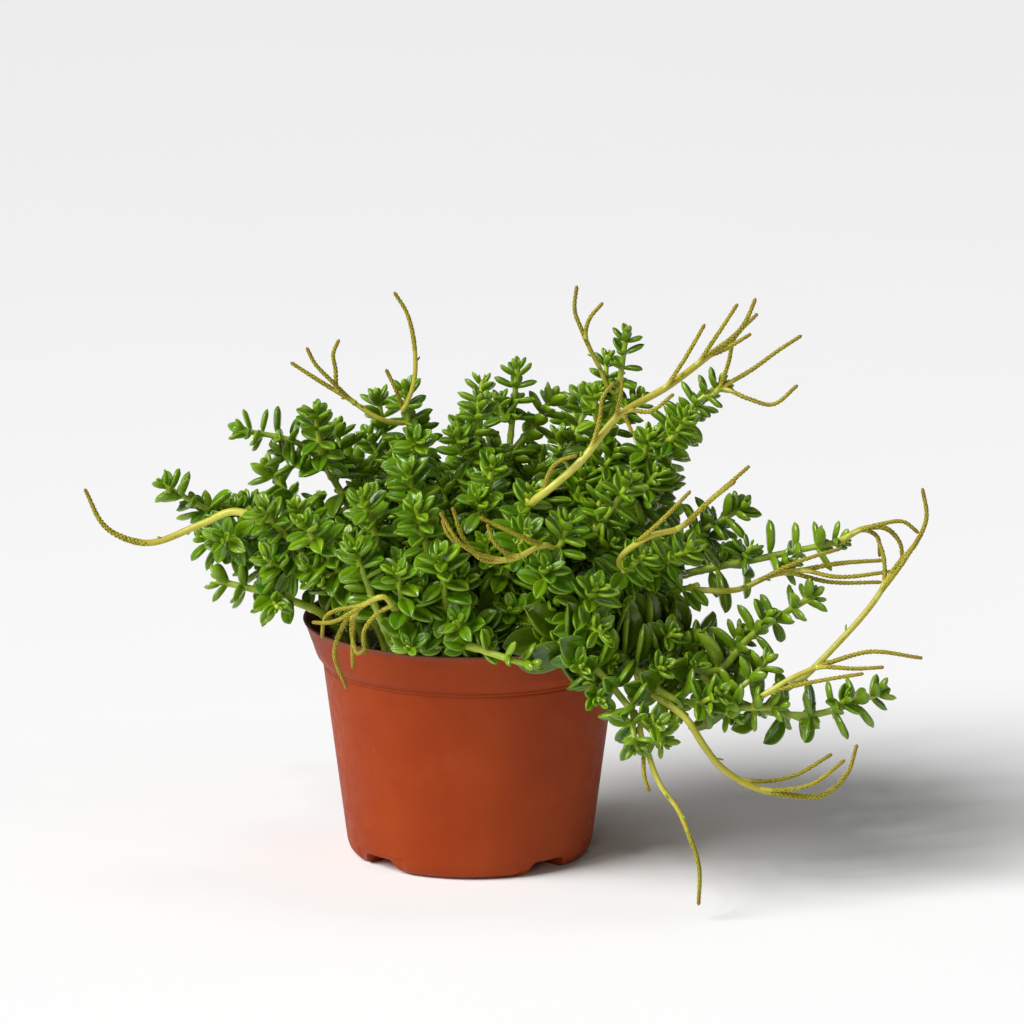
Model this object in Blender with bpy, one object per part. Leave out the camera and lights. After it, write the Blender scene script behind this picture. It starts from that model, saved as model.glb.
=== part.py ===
"""A trailing folded-leaf peperomia in a terracotta-coloured plastic pot.

The pot, the compost, every rooted stem with the leaves grown on it, and every
flower stalk with its spikes are one closed solid each. Lengths below are in
millimetres; the last step turns them into metres. +Z is up, the pot's axis is
the Z axis and its foot stands on z = 0.
"""
import math
import random

import bmesh
import bpy
import numpy as np
from mathutils import Matrix

MM = 0.001

# ---------------------------------------------------------------- the pot
POT_SEGMENTS = 48
# Half of the pot's section, outside first, from the foot to the lip and back.
POT_OUTSIDE = [
    (53.0, 0.0), (57.5, 1.4), (60.4, 4.6), (61.3, 9.0),
    (72.2, 92.5), (73.0, 96.8), (75.6, 101.5), (77.8, 107.5),
    (79.8, 113.0), (81.9, 118.4), (82.5, 119.4), (82.1, 120.0),
]
POT_INSIDE = [
    (81.0, 120.0), (80.2, 118.6), (78.0, 112.8), (76.1, 107.2),
    (74.0, 101.2), (71.4, 96.8), (70.6, 92.5), (59.7, 9.4),
    (58.4, 5.0), (55.6, 2.6), (52.0, 1.8),
]
FLOOR_TOP = 1.8
CHANNEL_ANGLES = (-49, 41, 131, 221)
CHANNEL_START = 16.0
CHANNEL_HALF_WIDTH = 10.6
CHANNEL_HEIGHT = 6.4
CHANNEL_WALL = 1.6
RIB_END = 56.0

# ---------------------------------------------------------------- the compost
SOIL_TOP = 107.0
SOIL_SIDE = [
    (51.5, 2.2), (57.6, 5.3), (59.2, 9.6), (70.1, 92.5), (70.9, 96.6), (75.2, 105.8), (74.2, SOIL_TOP),
]
GAP = 0.4

# ---------------------------------------------------------------- the stems
STEM_FOOT_RADIUS = 2.5
STEM_TIP_RADIUS = 1.3
STEM_SIDES = 4
WHORL_SPACING = 9.0
WHORL_BAND = 2.4
FORK_BAND = 2.0
MOST_WHORLS = 7
YOUNG_LEAF = 13.0
OLD_LEAF = 23.0
LEAF_WIDTH = 0.56
LEAF_THICKNESS = 0.2

# Each row: where the stem leaves the compost, the points it passes through,
# the share of it that is bare below, and its side shoot (where along the stem
# it starts, and its points) or None.
STEMS = [
    ((-56, -10), [(-88, -12, 150), (-125, -18, 176), (-152, -20, 192)], 0.45,
     (0.62, [(-116, -30, 168), (-122, -42, 169)])),
    ((-44, 6), [(-60, 4, 175), (-82, 2, 206), (-114, 0, 215)], 0.5,
     (0.62, [(-74, -12, 212), (-76, -16, 230)])),
    ((-50, -32), [(-78, -46, 158), (-103, -60, 190)], 0.52, None),
    ((-40, -42), [(-62, -60, 155), (-82, -75, 186)], 0.4, None),
    ((-60, -20), [(-69, -24, 124), (-88, -32, 136), (-108, -36, 143), (-125, -32, 146)],
     0.4, (0.6, [(-96, -44, 141), (-94, -56, 138)])),
    ((-28, -44), [(-42, -62, 165), (-53, -80, 202)], 0.4, None),
    ((-18, -6), [(-26, -8, 185), (-32, -10, 240)], 0.5,
     (0.6, [(-28, -30, 205), (-26, -48, 222)])),
    ((0, -12), [(2, -16, 180), (5, -20, 236)], 0.5, None),
    ((12, 8), [(18, 8, 185), (24, 10, 246)], 0.5,
     (0.66, [(32, 14, 214), (42, 22, 228)])),
    ((34, 10), [(58, 12, 185), (72, 14, 225), (78, 15, 262)], 0.55, None),
    ((50, -2), [(78, -2, 180), (105, 0, 222), (126, 0, 240)], 0.55,
     (0.62, [(100, 8, 206), (106, 18, 210)])),
    ((34, -28), [(55, -42, 160), (80, -55, 204)], 0.45, None),
    ((20, -52), [(36, -76, 155), (50, -88, 191)], 0.4, None),
    ((10, -40), [(20, -64, 165), (32, -80, 205)], 0.4, None),
    ((2, -28), [(6, -44, 170), (12, -60, 214)], 0.45, None),
    ((-10, -50), [(-18, -72, 160), (-26, -88, 198)], 0.4, None),
    ((-12, -34), [(-22, -52, 170), (-30, -65, 211)], 0.45, None),
    ((-36, -56), [(-46, -78, 145), (-56, -92, 178)], 0.35, None),
    ((-22, -60), [(-31, -82, 140), (-35, -100, 168)], 0.3, None),
    ((-6, -60), [(-11, -82, 145), (-14, -99, 176)], 0.35, None),
    ((8, -60), [(5, -78, 130), (-7, -98, 142)], 0.3, None),
    ((-12, -66), [(-10, -71, 121), (-1, -86, 127), (14, -98, 125), (32, -101, 120)],
     0.3, None),
    ((30, -50), [(36, -62, 125), (51, -84, 137), (66, -102, 138)], 0.4,
     (0.6, [(56, -88, 147), (63, -98, 160)])),
    ((44, -38), [(66, -64, 148), (86, -85, 173)], 0.4, None),
    ((52, -28), [(84, -47, 150), (109, -68, 172)], 0.4, None),
    ((58, -16), [(67, -21, 123), (90, -36, 138), (113, -56, 150)], 0.4, None),
    ((56, 8), [(96, 4, 150), (137, 0, 176)], 0.45, None),
    ((62, -4), [(70, -5, 123), (96, -7, 139), (145, -10, 152), (186, -10, 161)], 0.45,
     None),
    ((52, -40), [(57, -46, 121), (73, -59, 128), (98, -69, 117), (120, -71, 110),
                 (138, -58, 124), (171, -42, 142)], 0.6, None),
    ((43, -50), [(48, -56, 121), (62, -71, 128), (82, -85, 114), (100, -90, 101),
                 (124, -87, 96), (154, -84, 95)], 0.55,
     (0.74, [(133, -80, 104), (147, -77, 118)])),
    ((60, -28), [(67, -32, 121), (84, -40, 127), (106, -50, 110), (132, -61, 92),
                 (166, -72, 88), (203, -70, 99)], 0.5, None),
    ((30, -58), [(35, -65, 121), (47, -80, 128), (66, -95, 113), (82, -104, 96),
                 (96, -106, 82)], 0.45, (0.8, [(80, -110, 92), (82, -117, 82)])),
    ((-30, 40), [(-46, 64, 155), (-60, 85, 185)], 0.4,
     (0.55, [(-48, 86, 158), (-46, 104, 150)])),
    ((-4, 50), [(-6, 80, 150), (-5, 102, 178)], 0.4,
     (0.5, [(-12, 94, 146), (-16, 111, 138)])),
    ((26, 46), [(40, 76, 150), (52, 98, 185)], 0.4,
     (0.5, [(36, 92, 148), (34, 111, 140)])),
    ((52, 28), [(76, 48, 155), (100, 65, 192)], 0.4,
     (0.5, [(86, 66, 152), (98, 88, 148)])),
    ((-48, 26), [(-74, 40, 150), (-102, 50, 184)], 0.4, None),
    ((0, 30), [(4, 50, 180), (6, 62, 226)], 0.45, None),
    ((-26, 22), [(-38, 38, 175), (-46, 48, 222)], 0.45, None),
    ((30, 26), [(46, 44, 175), (60, 56, 222)], 0.45, None),
]

# ---------------------------------------------------------------- the flowers
STALK_SIDES = 4
SPIKE_RADIUS = 0.95
SPIKE_TIP_RADIUS = 0.5
# Each row: the stem it grows from (counting from 1), how far along that stem,
# the stalk's thickness, the points of the stalk and its leading spike, and the
# other spikes, each as the share of the stalk where it forks off and its points.
FLOWERS = [
    (3, 0.92, 4.2, [(-116, -52, 186), (-132, -46, 178), (-161, -47, 169), (-178, -46, 176),
                    (-189, -45, 196)], []),
    (7, 0.86, 2.6, [(-42, -18, 224), (-62, -20, 237), (-76, -21, 246), (-88, -21, 254)],
     [(0.46, [(-68, -26, 246), (-76, -27, 255), (-80, -27, 263)]),
      (0.60, [(-66, -17, 250), (-67, -17, 257), (-64, -18, 265)])]),
    (7, 0.92, 2.8, [(-32, -26, 232), (-28, -27, 242), (-27, -27, 264), (-31, -27, 281),
                    (-37, -27, 291)],
     [(0.16, [(-36, -30, 242), (-41, -31, 253)])]),
    (10, 0.80, 2.4, [(64, 9, 245), (56, 5, 263), (52, 5, 274), (53, 5, 287)],
     [(0.56, [(59, 3, 270), (66, 2, 279)])]),
    (14, 0.93, 4.2, [(34, -91, 203), (53, -90, 219), (74, -81, 242), (97, -73, 254),
                     (116, -66, 267), (133, -64, 281), (140, -63, 296)],
     [(0.30, [(64, -89, 243), (65, -89, 252), (71, -88, 260)]),
      (0.42, [(74, -86, 254), (75, -86, 262)]),
      (0.47, [(88, -84, 244), (100, -84, 253)]),
      (0.60, [(103, -76, 265), (115, -76, 286)]),
      (0.72, [(119, -70, 276), (131, -71, 295)]),
      (0.76, [(124, -60, 269), (138, -58, 277)])]),
    (11, 0.93, 2.8, [(129, -4, 240), (140, -5, 247), (152, -5, 256), (164, -5, 264)],
     [(0.16, [(137, -9, 233), (149, -10, 230), (162, -10, 240)]),
      (0.10, [(128, -8, 252), (130, -9, 262), (142, -9, 276)])]),
    (24, 0.80, 3.6, [(88, -91, 183), (104, -91, 188), (114, -88, 197), (137, -84, 217)],
     [(0.18, [(94, -98, 193), (108, -99, 208)]),
      (0.50, [(120, -95, 204), (130, -95, 212)])]),
    (13, 0.82, 3.4, [(36, -97, 180), (20, -105, 175), (7, -109, 176), (-2, -111, 186),
                     (-8, -111, 203)],
     [(0.08, [(24, -109, 188), (5, -112, 198)]),
      (0.38, [(12, -112, 186), (9, -113, 195)]),
      (0.46, [(-4, -117, 186), (-14, -118, 202)]),
      (0.70, [(-10, -115, 190), (-13, -116, 198)])]),
    (19, 0.62, 3.2, [(-42, -96, 154), (-54, -88, 146), (-62, -77, 134), (-66, -74, 120),
                     (-60, -72, 101)],
     [(0.12, [(-51, -90, 136), (-51, -86, 122)]),
      (0.30, [(-68, -84, 138), (-77, -76, 136)]),
      (0.42, [(-57, -82, 126), (-57, -79, 113)])]),
    (26, 0.92, 3.2, [(120, -52, 146), (132, -46, 145), (149, -45, 152), (164, -46, 155),
                     (180, -46, 158), (205, -46, 160)],
     [(0.30, [(162, -49, 160), (183, -50, 167)]),
      (0.58, [(180, -52, 153), (208, -53, 156)]),
      (0.50, [(178, -43, 148), (203, -43, 148)])]),
    (28, 0.97, 3.6, [(185, -15, 163), (194, -15, 168), (206, -14, 168), (213, -14, 160),
                     (214, -14, 152)],
     [(0.24, [(204, -20, 172), (214, -20, 173), (222, -20, 167)]),
      (0.34, [(202, -9, 162), (203, -8, 152)])]),
    (31, 0.66, 3.6, [(166, -62, 106), (180, -63, 121), (198, -62, 142), (210, -61, 161),
                     (219, -60, 172), (224, -60, 184), (222, -60, 200)],
     [(0.60, [(203, -56, 166), (200, -54, 174)]),
      (0.55, [(214, -67, 166), (221, -67, 178)])]),
    (30, 0.90, 3.0, [(152, -90, 108), (166, -89, 115), (180, -88, 120), (194, -88, 124),
                     (222, -88, 121)],
     [(0.10, [(176, -94, 112), (193, -95, 115)]),
      (0.42, [(190, -93, 117), (203, -94, 118)])]),
    (30, 0.48, 4.0, [(108, -95, 90), (114, -95, 80), (123, -95, 68), (140, -94, 57),
                     (156, -93, 53), (174, -92, 53), (185, -91, 63), (190, -90, 78)],
     [(0.58, [(168, -98, 60), (184, -97, 72)]),
      (0.50, [(158, -88, 61), (178, -86, 72)])]),
    (32, 0.86, 3.0, [(88, -114, 78), (94, -119, 64), (102, -124, 54), (107, -128, 43),
                     (112, -131, 28), (112, -133, 8)],
     [(0.10, [(86, -120, 68), (88, -121, 62)])]),
    (34, 0.80, 3.2, [(-2, 104, 164), (4, 112, 154), (14, 119, 148), (22, 122, 156)],
     [(0.40, [(2, 119, 144), (-2, 123, 134)])]),
    (37, 0.66, 3.2, [(-80, 58, 152), (-86, 72, 148), (-94, 86, 150), (-98, 98, 160)],
     [(0.42, [(-84, 84, 142), (-80, 96, 140)])]),
]


# ---------------------------------------------------------------- shapes
class Route:
    """A smooth curve through a few points, measured by distance along it."""

    def __init__(self, points, first_way, first_across=None):
        points = np.array(points, float)
        chords = np.linalg.norm(np.diff(points, axis=0), axis=1)[:, None]
        slopes = np.diff(points, axis=0) / chords
        ways = [np.array(first_way, float)]
        for k in range(1, len(slopes)):
            ways.append((slopes[k - 1] * chords[k] + slopes[k] * chords[k - 1])
                        / (chords[k] + chords[k - 1]))
        ways.append(slopes[-1])
        line = []
        for k, chord in enumerate(chords):
            for t in np.arange(12) / 12:
                line.append(points[k] * (2 * t**3 - 3 * t**2 + 1)
                            + points[k + 1] * (3 * t**2 - 2 * t**3)
                            + ways[k] * chord * (t**3 - 2 * t**2 + t)
                            + ways[k + 1] * chord * (t**3 - t**2))
        line.append(points[-1])
        self.line = np.array(line)
        steps = np.linalg.norm(np.diff(self.line, axis=0), axis=1)
        self.far = np.concatenate([[0.0], np.cumsum(steps)])
        self.length = float(self.far[-1])
        tangents = np.gradient(self.line, axis=0)
        tangents[0] = ways[0]
        self.tangents = tangents / np.linalg.norm(tangents, axis=1)[:, None]
        across = np.array(first_across if first_across is not None else (0.83, 0.55, 0.1))
        frames = []
        for tangent in self.tangents:
            across = across - tangent * across.dot(tangent)
            across = across / np.linalg.norm(across)
            frames.append(across)
        self.across = np.array(frames)

    def at(self, distance):
        """The centre, tangent and two cross directions at a distance."""
        def blend(rows):
            return np.array([np.interp(distance, self.far, rows[:, k]) for k in range(3)])
        tangent = blend(self.tangents)
        tangent /= np.linalg.norm(tangent)
        across = blend(self.across)
        across -= tangent * across.dot(tangent)
        across /= np.linalg.norm(across)
        return blend(self.line), tangent, across, np.cross(tangent, across)


class Solid:
    """One closed body under construction, and the balls that stand for it."""

    def __init__(self, name):
        self.name = name
        self.points = []
        self.faces = []
        self.balls = []
        self.leaf_balls = []

    def point(self, place):
        self.points.append(tuple(float(v) for v in place))
        return len(self.points) - 1


class Tube:
    """Rings of points along a route; side faces are filled in at the end."""

    def __init__(self, solid, route, distances, radius_at, sides, start_loop=None):
        self.solid = solid
        self.route = route
        self.taken = set()
        self.sides = sides
        self.rings = []
        phase = math.radians(225 if start_loop else 0)
        for number, distance in enumerate(distances):
            if number == 0 and start_loop:
                self.rings.append(start_loop)
                continue
            centre, _, u, v = route.at(distance)
            radius = radius_at(distance)
            angles = [phase + 2 * math.pi * k / sides for k in range(sides)]
            self.rings.append([solid.point(centre + radius * (math.cos(a) * u + math.sin(a) * v))
                               for a in angles])
        end, tangent, _, _ = route.at(route.length)
        self.tip = solid.point(end + tangent * radius_at(route.length))
        for distance in np.arange(0, route.length, 2.0):
            solid.balls.append((*route.at(distance)[0], radius_at(distance)))
        if start_loop is None:
            solid.faces.append(tuple(reversed(self.rings[0])))

    def loop(self, ring, side):
        """The four corners of one side face, and the frame of that face."""
        low, high = self.rings[ring], self.rings[ring + 1]
        nxt = (side + 1) % self.sides
        corners = [low[side], low[nxt], high[nxt], high[side]]
        places = np.array([self.solid.points[c] for c in corners])
        middle = places.mean(axis=0)
        wide = places[1] + places[2] - places[0] - places[3]
        tall = places[2] + places[3] - places[0] - places[1]
        wide /= np.linalg.norm(wide)
        out = np.cross(wide, tall)
        out /= np.linalg.norm(out)
        return corners, middle, wide, out

    def side_facing(self, ring, direction):
        """The free side face of a ring that looks most along a direction."""
        free = [s for s in range(self.sides) if (ring, s) not in self.taken]
        return max(free, key=lambda s: float(self.loop(ring, s)[3].dot(direction)))

    def close(self):
        for ring in range(len(self.rings) - 1):
            low, high = self.rings[ring], self.rings[ring + 1]
            for side in range(self.sides):
                if (ring, side) in self.taken:
                    continue
                nxt = (side + 1) % self.sides
                self.solid.faces.append((low[side], low[nxt], high[nxt], high[side]))
        last = self.rings[-1]
        for side in range(self.sides):
            self.solid.faces.append((last[side], last[(side + 1) % self.sides], self.tip))


def leaf_balls(root, along, wide, length):
    """Small balls that fill a leaf, for keeping it clear of its neighbours."""
    balls = []
    for share, spread in ((0.25, 0.5), (0.38, 0.8), (0.5, 1.0), (0.62, 0.8), (0.74, 0.5),
                          (0.84, 0.3), (0.96, 0)):
        half = spread * (length * LEAF_WIDTH / 2 - 1.3)
        for sideways in np.linspace(-half, half, 5 if spread > 0.5 else 3):
            balls.append((*(root + along * length * share + wide * sideways), 1.4))
    return np.array(balls)


def room_between(balls, others):
    """The smallest gap between two sets of balls."""
    others = others[np.linalg.norm(others[:, :3] - balls[0, :3], axis=1) < 36.0]
    if not len(others):
        return 99.0
    gaps = np.linalg.norm(balls[:, None, :3] - others[None, :, :3], axis=2)
    return (gaps - balls[:, None, 3] - others[None, :, 3]).min()


def add_leaf(tube, ring, side, length, rise, others):
    """Grow one folded leaf out of a side face, if there is room for it."""
    corners, root, wide, out = tube.loop(ring, side)
    tangent = np.cross(out, wide)
    along = math.cos(rise) * out + math.sin(rise) * tangent
    up = np.cross(along, wide)
    for size in (length, length * 0.8, length * 0.62):
        balls = leaf_balls(root, along, wide, size)
        own = [b for b in tube.solid.balls if math.dist(b[:3], root) > 5.0]
        own = np.array(own + tube.solid.leaf_balls)
        low = np.array([[*(root + along * size * 0.14), 1.6]])
        if (room_between(balls, own) > 0.5 and room_between(balls, others) > 0.5
                and room_between(low, others) > 0.5 and balls[:, 2].min() > 4.0
                and clear_of_pot(balls)):
            break
    else:
        return False
    half = size * LEAF_WIDTH / 2
    thick = size * LEAF_THICKNESS / 2
    middle = root + along * size * 0.47
    solid = tube.solid
    loop = [solid.point(middle + wide * (sx * half) + up * (sz * thick))
            for sx, sz in ((-0.62, -1), (0.62, -1), (1, 1), (-1, 1))]
    tip = solid.point(root + along * size + up * size * 0.06)
    for k in range(4):
        n = (k + 1) % 4
        solid.faces.append((corners[k], corners[n], loop[n], loop[k]))
        solid.faces.append((loop[k], loop[n], tip))
    tube.taken.add((ring, side))
    solid.leaf_balls.extend(tuple(b) for b in balls)
    solid.balls.append(tuple(low[0]))
    return True


def clear_of_pot(balls):
    """Whether balls stay above the compost and off the pot's wall and lip."""
    outside = sorted(POT_OUTSIDE, key=lambda p: p[1])
    inside = sorted(POT_INSIDE, key=lambda p: p[1])
    for x, y, z, radius in balls:
        reach = math.hypot(x, y)
        margin = radius + 0.6
        if z > 120.0 + margin:
            continue
        outer = np.interp(z, [p[1] for p in outside], [p[0] for p in outside])
        inner = np.interp(z, [p[1] for p in inside], [p[0] for p in inside])
        if z > 118.0:
            outer, inner = 82.5, 80.5
        if reach > outer + margin:
            continue
        if reach > inner - margin or z < SOIL_TOP + margin:
            return False
    return True


def with_bands(plain, middles, width):
    """Ring distances with a pair of close rings around each middle."""
    kept = [d for d in plain if all(abs(d - m) > width + 1.5 for m in middles) or d == 0.0]
    pairs = [m + side * width / 2 for m in middles for side in (-1, 1)]
    distances = sorted(kept + pairs)
    return distances, [distances.index(m - width / 2) for m in middles]


def stem_tube(solid, points, bare, first_way, fork_shares=(), first_across=None, start=None):
    """A leafy stem or side shoot: its tube, with a band of rings per whorl."""
    route = Route(points, first_way, first_across)
    thick = STEM_FOOT_RADIUS if start is None else STEM_FOOT_RADIUS * 0.62

    def radius_at(distance):
        return thick + (STEM_TIP_RADIUS - thick) * min(1.0, distance / route.length)

    forks = [route.length * share for share in fork_shares]
    whorls = []
    distance = route.length - 2.5
    while distance > max(route.length * bare, 4.0) and len(whorls) < MOST_WHORLS:
        if all(abs(distance - f) > 6.0 for f in forks):
            whorls.append(distance)
        distance -= WHORL_SPACING
    lowest = min(whorls + forks)
    count = max(1, round(lowest / 20))
    plain = [lowest * k / count for k in range(count)]
    distances, bands = with_bands(plain, whorls + forks, WHORL_BAND)
    tube = Tube(solid, route, distances, radius_at, STEM_SIDES, start)
    return tube, bands[:len(whorls)], bands[len(whorls):]


def thin_tube(solid, points, thick_start, first_way, fork_shares=(), first_across=None,
              start=None):
    """A flower stalk that runs on as a spike, or a spike forking off it."""
    route = Route(points, first_way, first_across)
    thick_end = SPIKE_TIP_RADIUS

    def radius_at(distance):
        share = min(1.0, distance / route.length)
        return thick_start + (thick_end - thick_start) * share**0.7

    count = max(3, round(route.length / 11))
    plain = [route.length * k / count for k in range(count)] + [route.length - 0.6]
    forks = [route.length * share for share in fork_shares]
    distances, bands = with_bands(plain, forks, FORK_BAND)
    return Tube(solid, route, distances, radius_at, STALK_SIDES, start), bands


def fork(tube, ring, points):
    """Where a side tube leaves: its corners, points, first way and across."""
    centre = np.mean([tube.solid.points[c] for c in tube.rings[ring]], axis=0)
    side = tube.side_facing(ring, np.array(points[0], float) - centre)
    corners, middle, wide, out = tube.loop(ring, side)
    tube.taken.add((ring, side))
    return corners, [middle, *points], out, wide


# ---------------------------------------------------------------- objects
def make_material(name, colour, roughness):
    material = bpy.data.materials.new(name)
    material.use_nodes = True
    shader = material.node_tree.nodes["Principled BSDF"]
    shader.inputs["Base Color"].default_value = (*colour, 1.0)
    shader.inputs["Roughness"].default_value = roughness
    material.diffuse_color = (*colour, 1.0)
    return material


def make_object(name, points, faces, material):
    """An object in metres from points in millimetres."""
    mesh = bpy.data.meshes.new(name)
    mesh.from_pydata([tuple(v * MM for v in p) for p in points], [], faces)
    mesh.update()
    mesh.shade_smooth()
    mesh.materials.append(material)
    item = bpy.data.objects.new(name, mesh)
    bpy.context.collection.objects.link(item)
    return item


def turned(profile, bottom, top, segments):
    """Points and faces of a closed turned body with both poles on the axis."""
    points = [(0.0, 0.0, bottom)]
    for radius, height in profile:
        for k in range(segments):
            angle = 2 * math.pi * k / segments
            points.append((radius * math.cos(angle), radius * math.sin(angle), height))
    points.append((0.0, 0.0, top))
    faces = []
    last = 1 + (len(profile) - 1) * segments
    for k in range(segments):
        n = (k + 1) % segments
        faces.append((0, 1 + n, 1 + k))
        faces.append((len(points) - 1, last + k, last + n))
        for row in range(len(profile) - 1):
            low = 1 + row * segments
            high = low + segments
            faces.append((low + k, low + n, high + n, high + k))
    return points, faces


def radial_box(name, angle, near, far, half_width, bottom, top, material):
    """A box that lies along one radius of the pot."""
    corners = [(r, w, z) for r in (near, far) for w in (-half_width, half_width)
               for z in (bottom, top)]
    faces = [(0, 1, 3, 2), (4, 6, 7, 5), (0, 4, 5, 1), (2, 3, 7, 6), (0, 2, 6, 4), (1, 5, 7, 3)]
    turn = Matrix.Rotation(math.radians(angle), 4, "Z")
    placed = [tuple(turn @ Matrix.Translation(c).to_translation()) for c in corners]
    box = make_object(name, placed, faces, material)
    for polygon in box.data.polygons:
        polygon.use_smooth = False
    return box


def cut(target, tool, operation):
    """Join or cut one body with another, then drop the tool."""
    modifier = target.modifiers.new("shape", "BOOLEAN")
    modifier.operation = operation
    modifier.solver = "EXACT"
    modifier.object = tool
    shape = bpy.data.meshes.new_from_object(
        target.evaluated_get(bpy.context.evaluated_depsgraph_get()))
    target.modifiers.remove(modifier)
    old = target.data
    target.data = shape
    shape.name = target.name
    bpy.data.meshes.remove(old)
    bpy.data.objects.remove(tool)


def smooth_by_angle(item, limit):
    """Round faces shaded smooth, with a crisp edge where the shape turns."""
    shape = bmesh.new()
    shape.from_mesh(item.data)
    for edge in shape.edges:
        edge.smooth = edge.calc_face_angle(math.pi) < math.radians(limit)
    for face in shape.faces:
        face.smooth = True
    shape.to_mesh(item.data)
    shape.free()


def build_pot(material):
    points, faces = turned(POT_OUTSIDE + POT_INSIDE, 0.0, FLOOR_TOP, POT_SEGMENTS)
    pot = make_object("pot", points, faces, material)
    for angle in CHANNEL_ANGLES:
        rib = radial_box("rib", angle, CHANNEL_START - CHANNEL_WALL, RIB_END,
                         CHANNEL_HALF_WIDTH + CHANNEL_WALL, 0.9,
                         CHANNEL_HEIGHT + CHANNEL_WALL, material)
        cut(pot, rib, "UNION")
    for angle in CHANNEL_ANGLES:
        channel = radial_box("channel", angle, CHANNEL_START, 75.0, CHANNEL_HALF_WIDTH,
                             -1.0, CHANNEL_HEIGHT, material)
        cut(pot, channel, "DIFFERENCE")
    smooth_by_angle(pot, 50)
    return pot


def build_soil(material):
    points, faces = turned(SOIL_SIDE, SOIL_SIDE[0][1], SOIL_TOP, POT_SEGMENTS)
    soil = make_object("potting_soil", points, faces, material)
    for angle in CHANNEL_ANGLES:
        room = radial_box("room", angle, CHANNEL_START - CHANNEL_WALL - GAP, 75.0,
                          CHANNEL_HALF_WIDTH + CHANNEL_WALL + GAP, -1.0,
                          CHANNEL_HEIGHT + CHANNEL_WALL + GAP, material)
        cut(soil, room, "DIFFERENCE")
    smooth_by_angle(soil, 50)
    return soil


def build_plant(leaf_material, stalk_material):
    """Every stem and flower tube first, then the leaves where there is room."""
    solids = []
    leafy = []
    for number, (foot, points, bare, side_shoot) in enumerate(STEMS, start=1):
        solid = Solid(f"leafy_stem_{number:02d}")
        start = (*foot, SOIL_TOP + GAP)
        shares = [side_shoot[0]] if side_shoot else []
        tube, bands, forks = stem_tube(solid, [start, *points], bare, (0, 0, 1), shares)
        tubes = [(tube, bands)]
        if side_shoot:
            corners, path, out, wide = fork(tube, forks[0], side_shoot[1])
            tubes.append(stem_tube(solid, path, 0.2, out, (), wide, corners)[:2])
        solids.append(solid)
        leafy.append(tubes)
    stalks = []
    for number, (parent, share, thick, points, spikes) in enumerate(FLOWERS, start=1):
        solid = Solid(f"flower_stalk_{number:02d}")
        stem = leafy[parent - 1][0][0].route
        centre, tangent, _, _ = stem.at(stem.length * share)
        out = np.array(points[0], float) - centre
        out -= tangent * out.dot(tangent)
        out /= np.linalg.norm(out)
        reach = STEM_FOOT_RADIUS + (STEM_TIP_RADIUS - STEM_FOOT_RADIUS) * share + GAP
        shares = [spike_share for spike_share, _ in spikes]
        tube, forks = thin_tube(solid, [centre + out * reach, *points], thick / 2, out, shares)
        stalks.append(tube)
        for ring, (_, path) in zip(forks, spikes):
            corners, path, out, wide = fork(tube, ring, path)
            stalks.append(thin_tube(solid, path, SPIKE_RADIUS, out, (), wide, corners)[0])
        solids.append(solid)
    chance = random.Random(7)
    for solid, tubes in zip(solids, leafy):
        others = np.array([b for s in solids if s is not solid for b in s.balls + s.leaf_balls])
        for tube, bands in tubes:
            for turn, ring in enumerate(bands):
                age = min(1.0, turn / 4)
                length = YOUNG_LEAF + (OLD_LEAF - YOUNG_LEAF) * age
                rise = math.radians(50 - 32 * age)
                sides = range(4) if turn == 0 else (turn % 2, turn % 2 + 2)
                for side in sides:
                    if (ring, side) not in tube.taken:
                        add_leaf(tube, ring, side, length * chance.uniform(0.9, 1.1),
                                 rise, others)
    for tubes in leafy:
        for tube, _ in tubes:
            tube.close()
    for tube in stalks:
        tube.close()
    for solid in solids:
        material = leaf_material if solid.name.startswith("leafy") else stalk_material
        make_object(solid.name, solid.points, solid.faces, material)


def main():
    for item in list(bpy.data.objects):
        bpy.data.objects.remove(item)
    build_pot(make_material("pot_plastic", (0.42, 0.085, 0.03), 0.5))
    build_soil(make_material("compost", (0.035, 0.022, 0.014), 0.95))
    build_plant(make_material("leaf", (0.07, 0.2, 0.02), 0.3),
                make_material("flower_stalk", (0.35, 0.33, 0.07), 0.5))


main()
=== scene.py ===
"""The finished look of a trailing folded-leaf peperomia in a terracotta-coloured pot.

Lengths are in millimetres until a mesh is made. The stems and flower stalks
follow the same routes as the solids of the model, in the model's own frame.
"""
import math
import random

import bpy
import numpy as np
from mathutils import Matrix, Vector


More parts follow.
